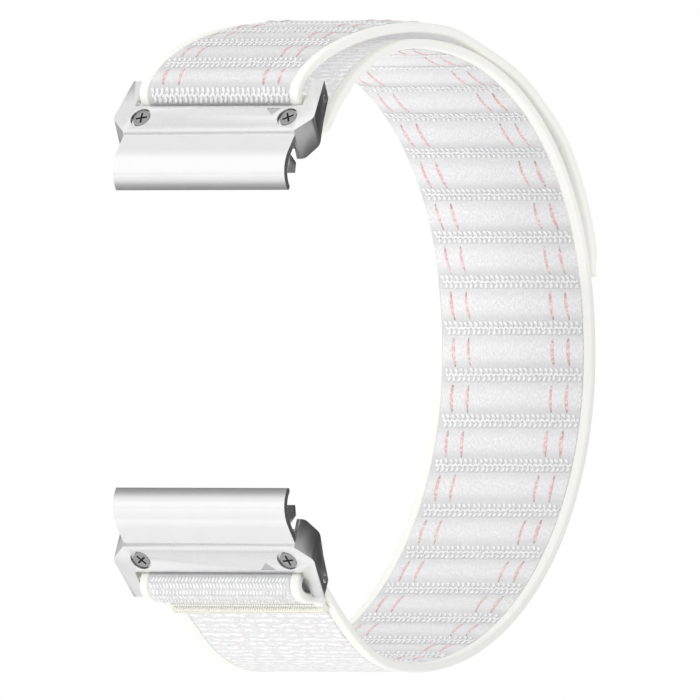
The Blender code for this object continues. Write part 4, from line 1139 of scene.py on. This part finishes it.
wall_card = card_finish("wall_card", 0.2)[0]
dim_card = card_finish("dim_card", 0.1)[0]
dark_card, u, v = card_finish("dark_card")
edge = dark_card.step((u - 0.5).math("ABSOLUTE"), 0.3, 0.5)
edge = edge.math("MAXIMUM", dark_card.step((v - 0.5).math("ABSOLUTE"), 0.2, 0.5))
dark_card.feed("Emission Color", dark_card.mix(edge, (0.07, 0.07, 0.072), 0.85))
side_card, u, v = card_finish("side_card")
side_card.feed("Emission Color", side_card.mix(side_card.step(v, 0.4, 0.6), 0.34, 0.07))
gap_card, u, v = card_finish("gap_card")
fall = gap_card.step(v, 0.1, 0.82)
grey = gap_card.mix(fall * fall * fall, 0.87, 0.16)
gap_card.feed("Emission Color", gap_card.mix(gap_card.step(v, 0.88, 0.96), grey, 0.66))
pale_card, u, v = card_finish("pale_card")
pale_card.feed("Emission Color", pale_card.mix(pale_card.step(v, 0.0, 0.6), 1.0, 0.8))
LEVEL = (0.0, 0.0, 0.0)
CARDS = (
    ("card_above", (-0.22, -0.09, 0.3), LEVEL, (0.56, 0.34), pale_card),
    ("card_below_right", (0.127, 0.086, 0.008), LEVEL, (0.249, 0.228), wall_card),
    ("card_above_right", (0.127, 0.086, -0.008), LEVEL, (0.249, 0.228), dim_card),
    ("card_below", (-0.06, -0.03, -0.096), LEVEL, (0.3, 0.12), pale_card),
    ("card_behind", (0.0, 0.25, 0.0), (pi / 2, 0.0, 0.0), (1.1, 1.1), dark_card),
    ("card_right", (0.32, -0.15, 0.0), (pi / 2, 0.0, pi / 2), (0.5, 0.9), side_card),
    ("card_in_gap", (-0.02, -0.05, 0.0), LEVEL, (0.12, 0.06), gap_card),
)
for name, spot, turn, (wide, tall), finish in CARDS:
    bpy.ops.mesh.primitive_plane_add(size=1.0, location=spot, rotation=turn)
    card = added(finish)
    card.name = name
    card.scale = (wide, tall, 1.0)
    for rays in ("camera", "diffuse", "shadow", "transmission"):
        setattr(card, "visible_" + rays, False)


# The light is plain and soft: a pale room all round that is white to the eye, a broad lamp high in front on
# the left, one low under the strap, a weak one on the right, and two faint ones inside the loop.
world = bpy.data.worlds.new("pale_room")
scene.world = world
world.use_nodes = True
room = world.node_tree
room.nodes.clear()
rays = room.nodes.new("ShaderNodeLightPath")
seen = rays.outputs["Is Camera Ray"]
for kind in ("Is Glossy Ray", "Is Transmission Ray"):
    either = room.nodes.new("ShaderNodeMath")
    either.operation = "MAXIMUM"
    room.links.new(seen, either.inputs[0])
    room.links.new(rays.outputs[kind], either.inputs[1])
    seen = either.outputs[0]
blend = room.nodes.new("ShaderNodeMixShader")
room.links.new(seen, blend.inputs[0])
for index, strength in ((1, 0.725), (2, 1.0)):
    white = room.nodes.new("ShaderNodeBackground")
    white.inputs["Color"].default_value = (1.0, 1.0, 1.0, 1.0)
    white.inputs["Strength"].default_value = strength
    room.links.new(white.outputs[0], blend.inputs[index])
out = room.nodes.new("ShaderNodeOutputWorld")
room.links.new(blend.outputs[0], out.inputs[0])
LAMPS = (
    ("front_left_lamp", "AREA", (-0.35, -0.6, 0.55), 0.5, 2.1),
    ("low_front_lamp", "AREA", (-0.15, -0.28, -0.6), 0.3, 1.1),
    ("right_lamp", "AREA", (0.6, -0.35, 0.15), 0.5, 0.8),
    ("loop_lamp_high", "POINT", (0.0, -0.002, 0.013), 0.008, 0.0044),
    ("loop_lamp_low", "POINT", (0.0, -0.002, -0.013), 0.008, 0.0003),
)
for name, kind, spot, size, power in LAMPS:
    light = bpy.data.lights.new(name, kind)
    light.energy = power
    if kind == "AREA":
        light.shape = "DISK"
        light.size = size
    else:
        light.shadow_soft_size = size
    lamp = placed(name, light)
    lamp.location = spot
    lamp.rotation_euler = Vector(spot).to_track_quat("Z", "Y").to_euler()
    lamp.visible_glossy = False


# The camera stands level with the strap and far off, turned to the strap's right side as the photograph is.
SIDE_TURN = radians(31.5)
PIXEL = MM / 9.31
MIDDLE_RIGHT = 16.4 * PIXEL
MIDDLE_UP = -11.0 * PIXEL
LENS = 1600.0
lens_data = bpy.data.cameras.new("photo_camera")
lens_data.lens = LENS
far_off = 700 * PIXEL * LENS / lens_data.sensor_width
camera = placed("photo_camera", lens_data)
aside, ahead = cos(SIDE_TURN), sin(SIDE_TURN)
camera.location = (ahead * far_off + aside * MIDDLE_RIGHT, ahead * MIDDLE_RIGHT - aside * far_off, MIDDLE_UP)
camera.rotation_euler = (pi / 2, 0.0, SIDE_TURN)
scene.camera = camera
scene.view_settings.view_transform = "Standard"
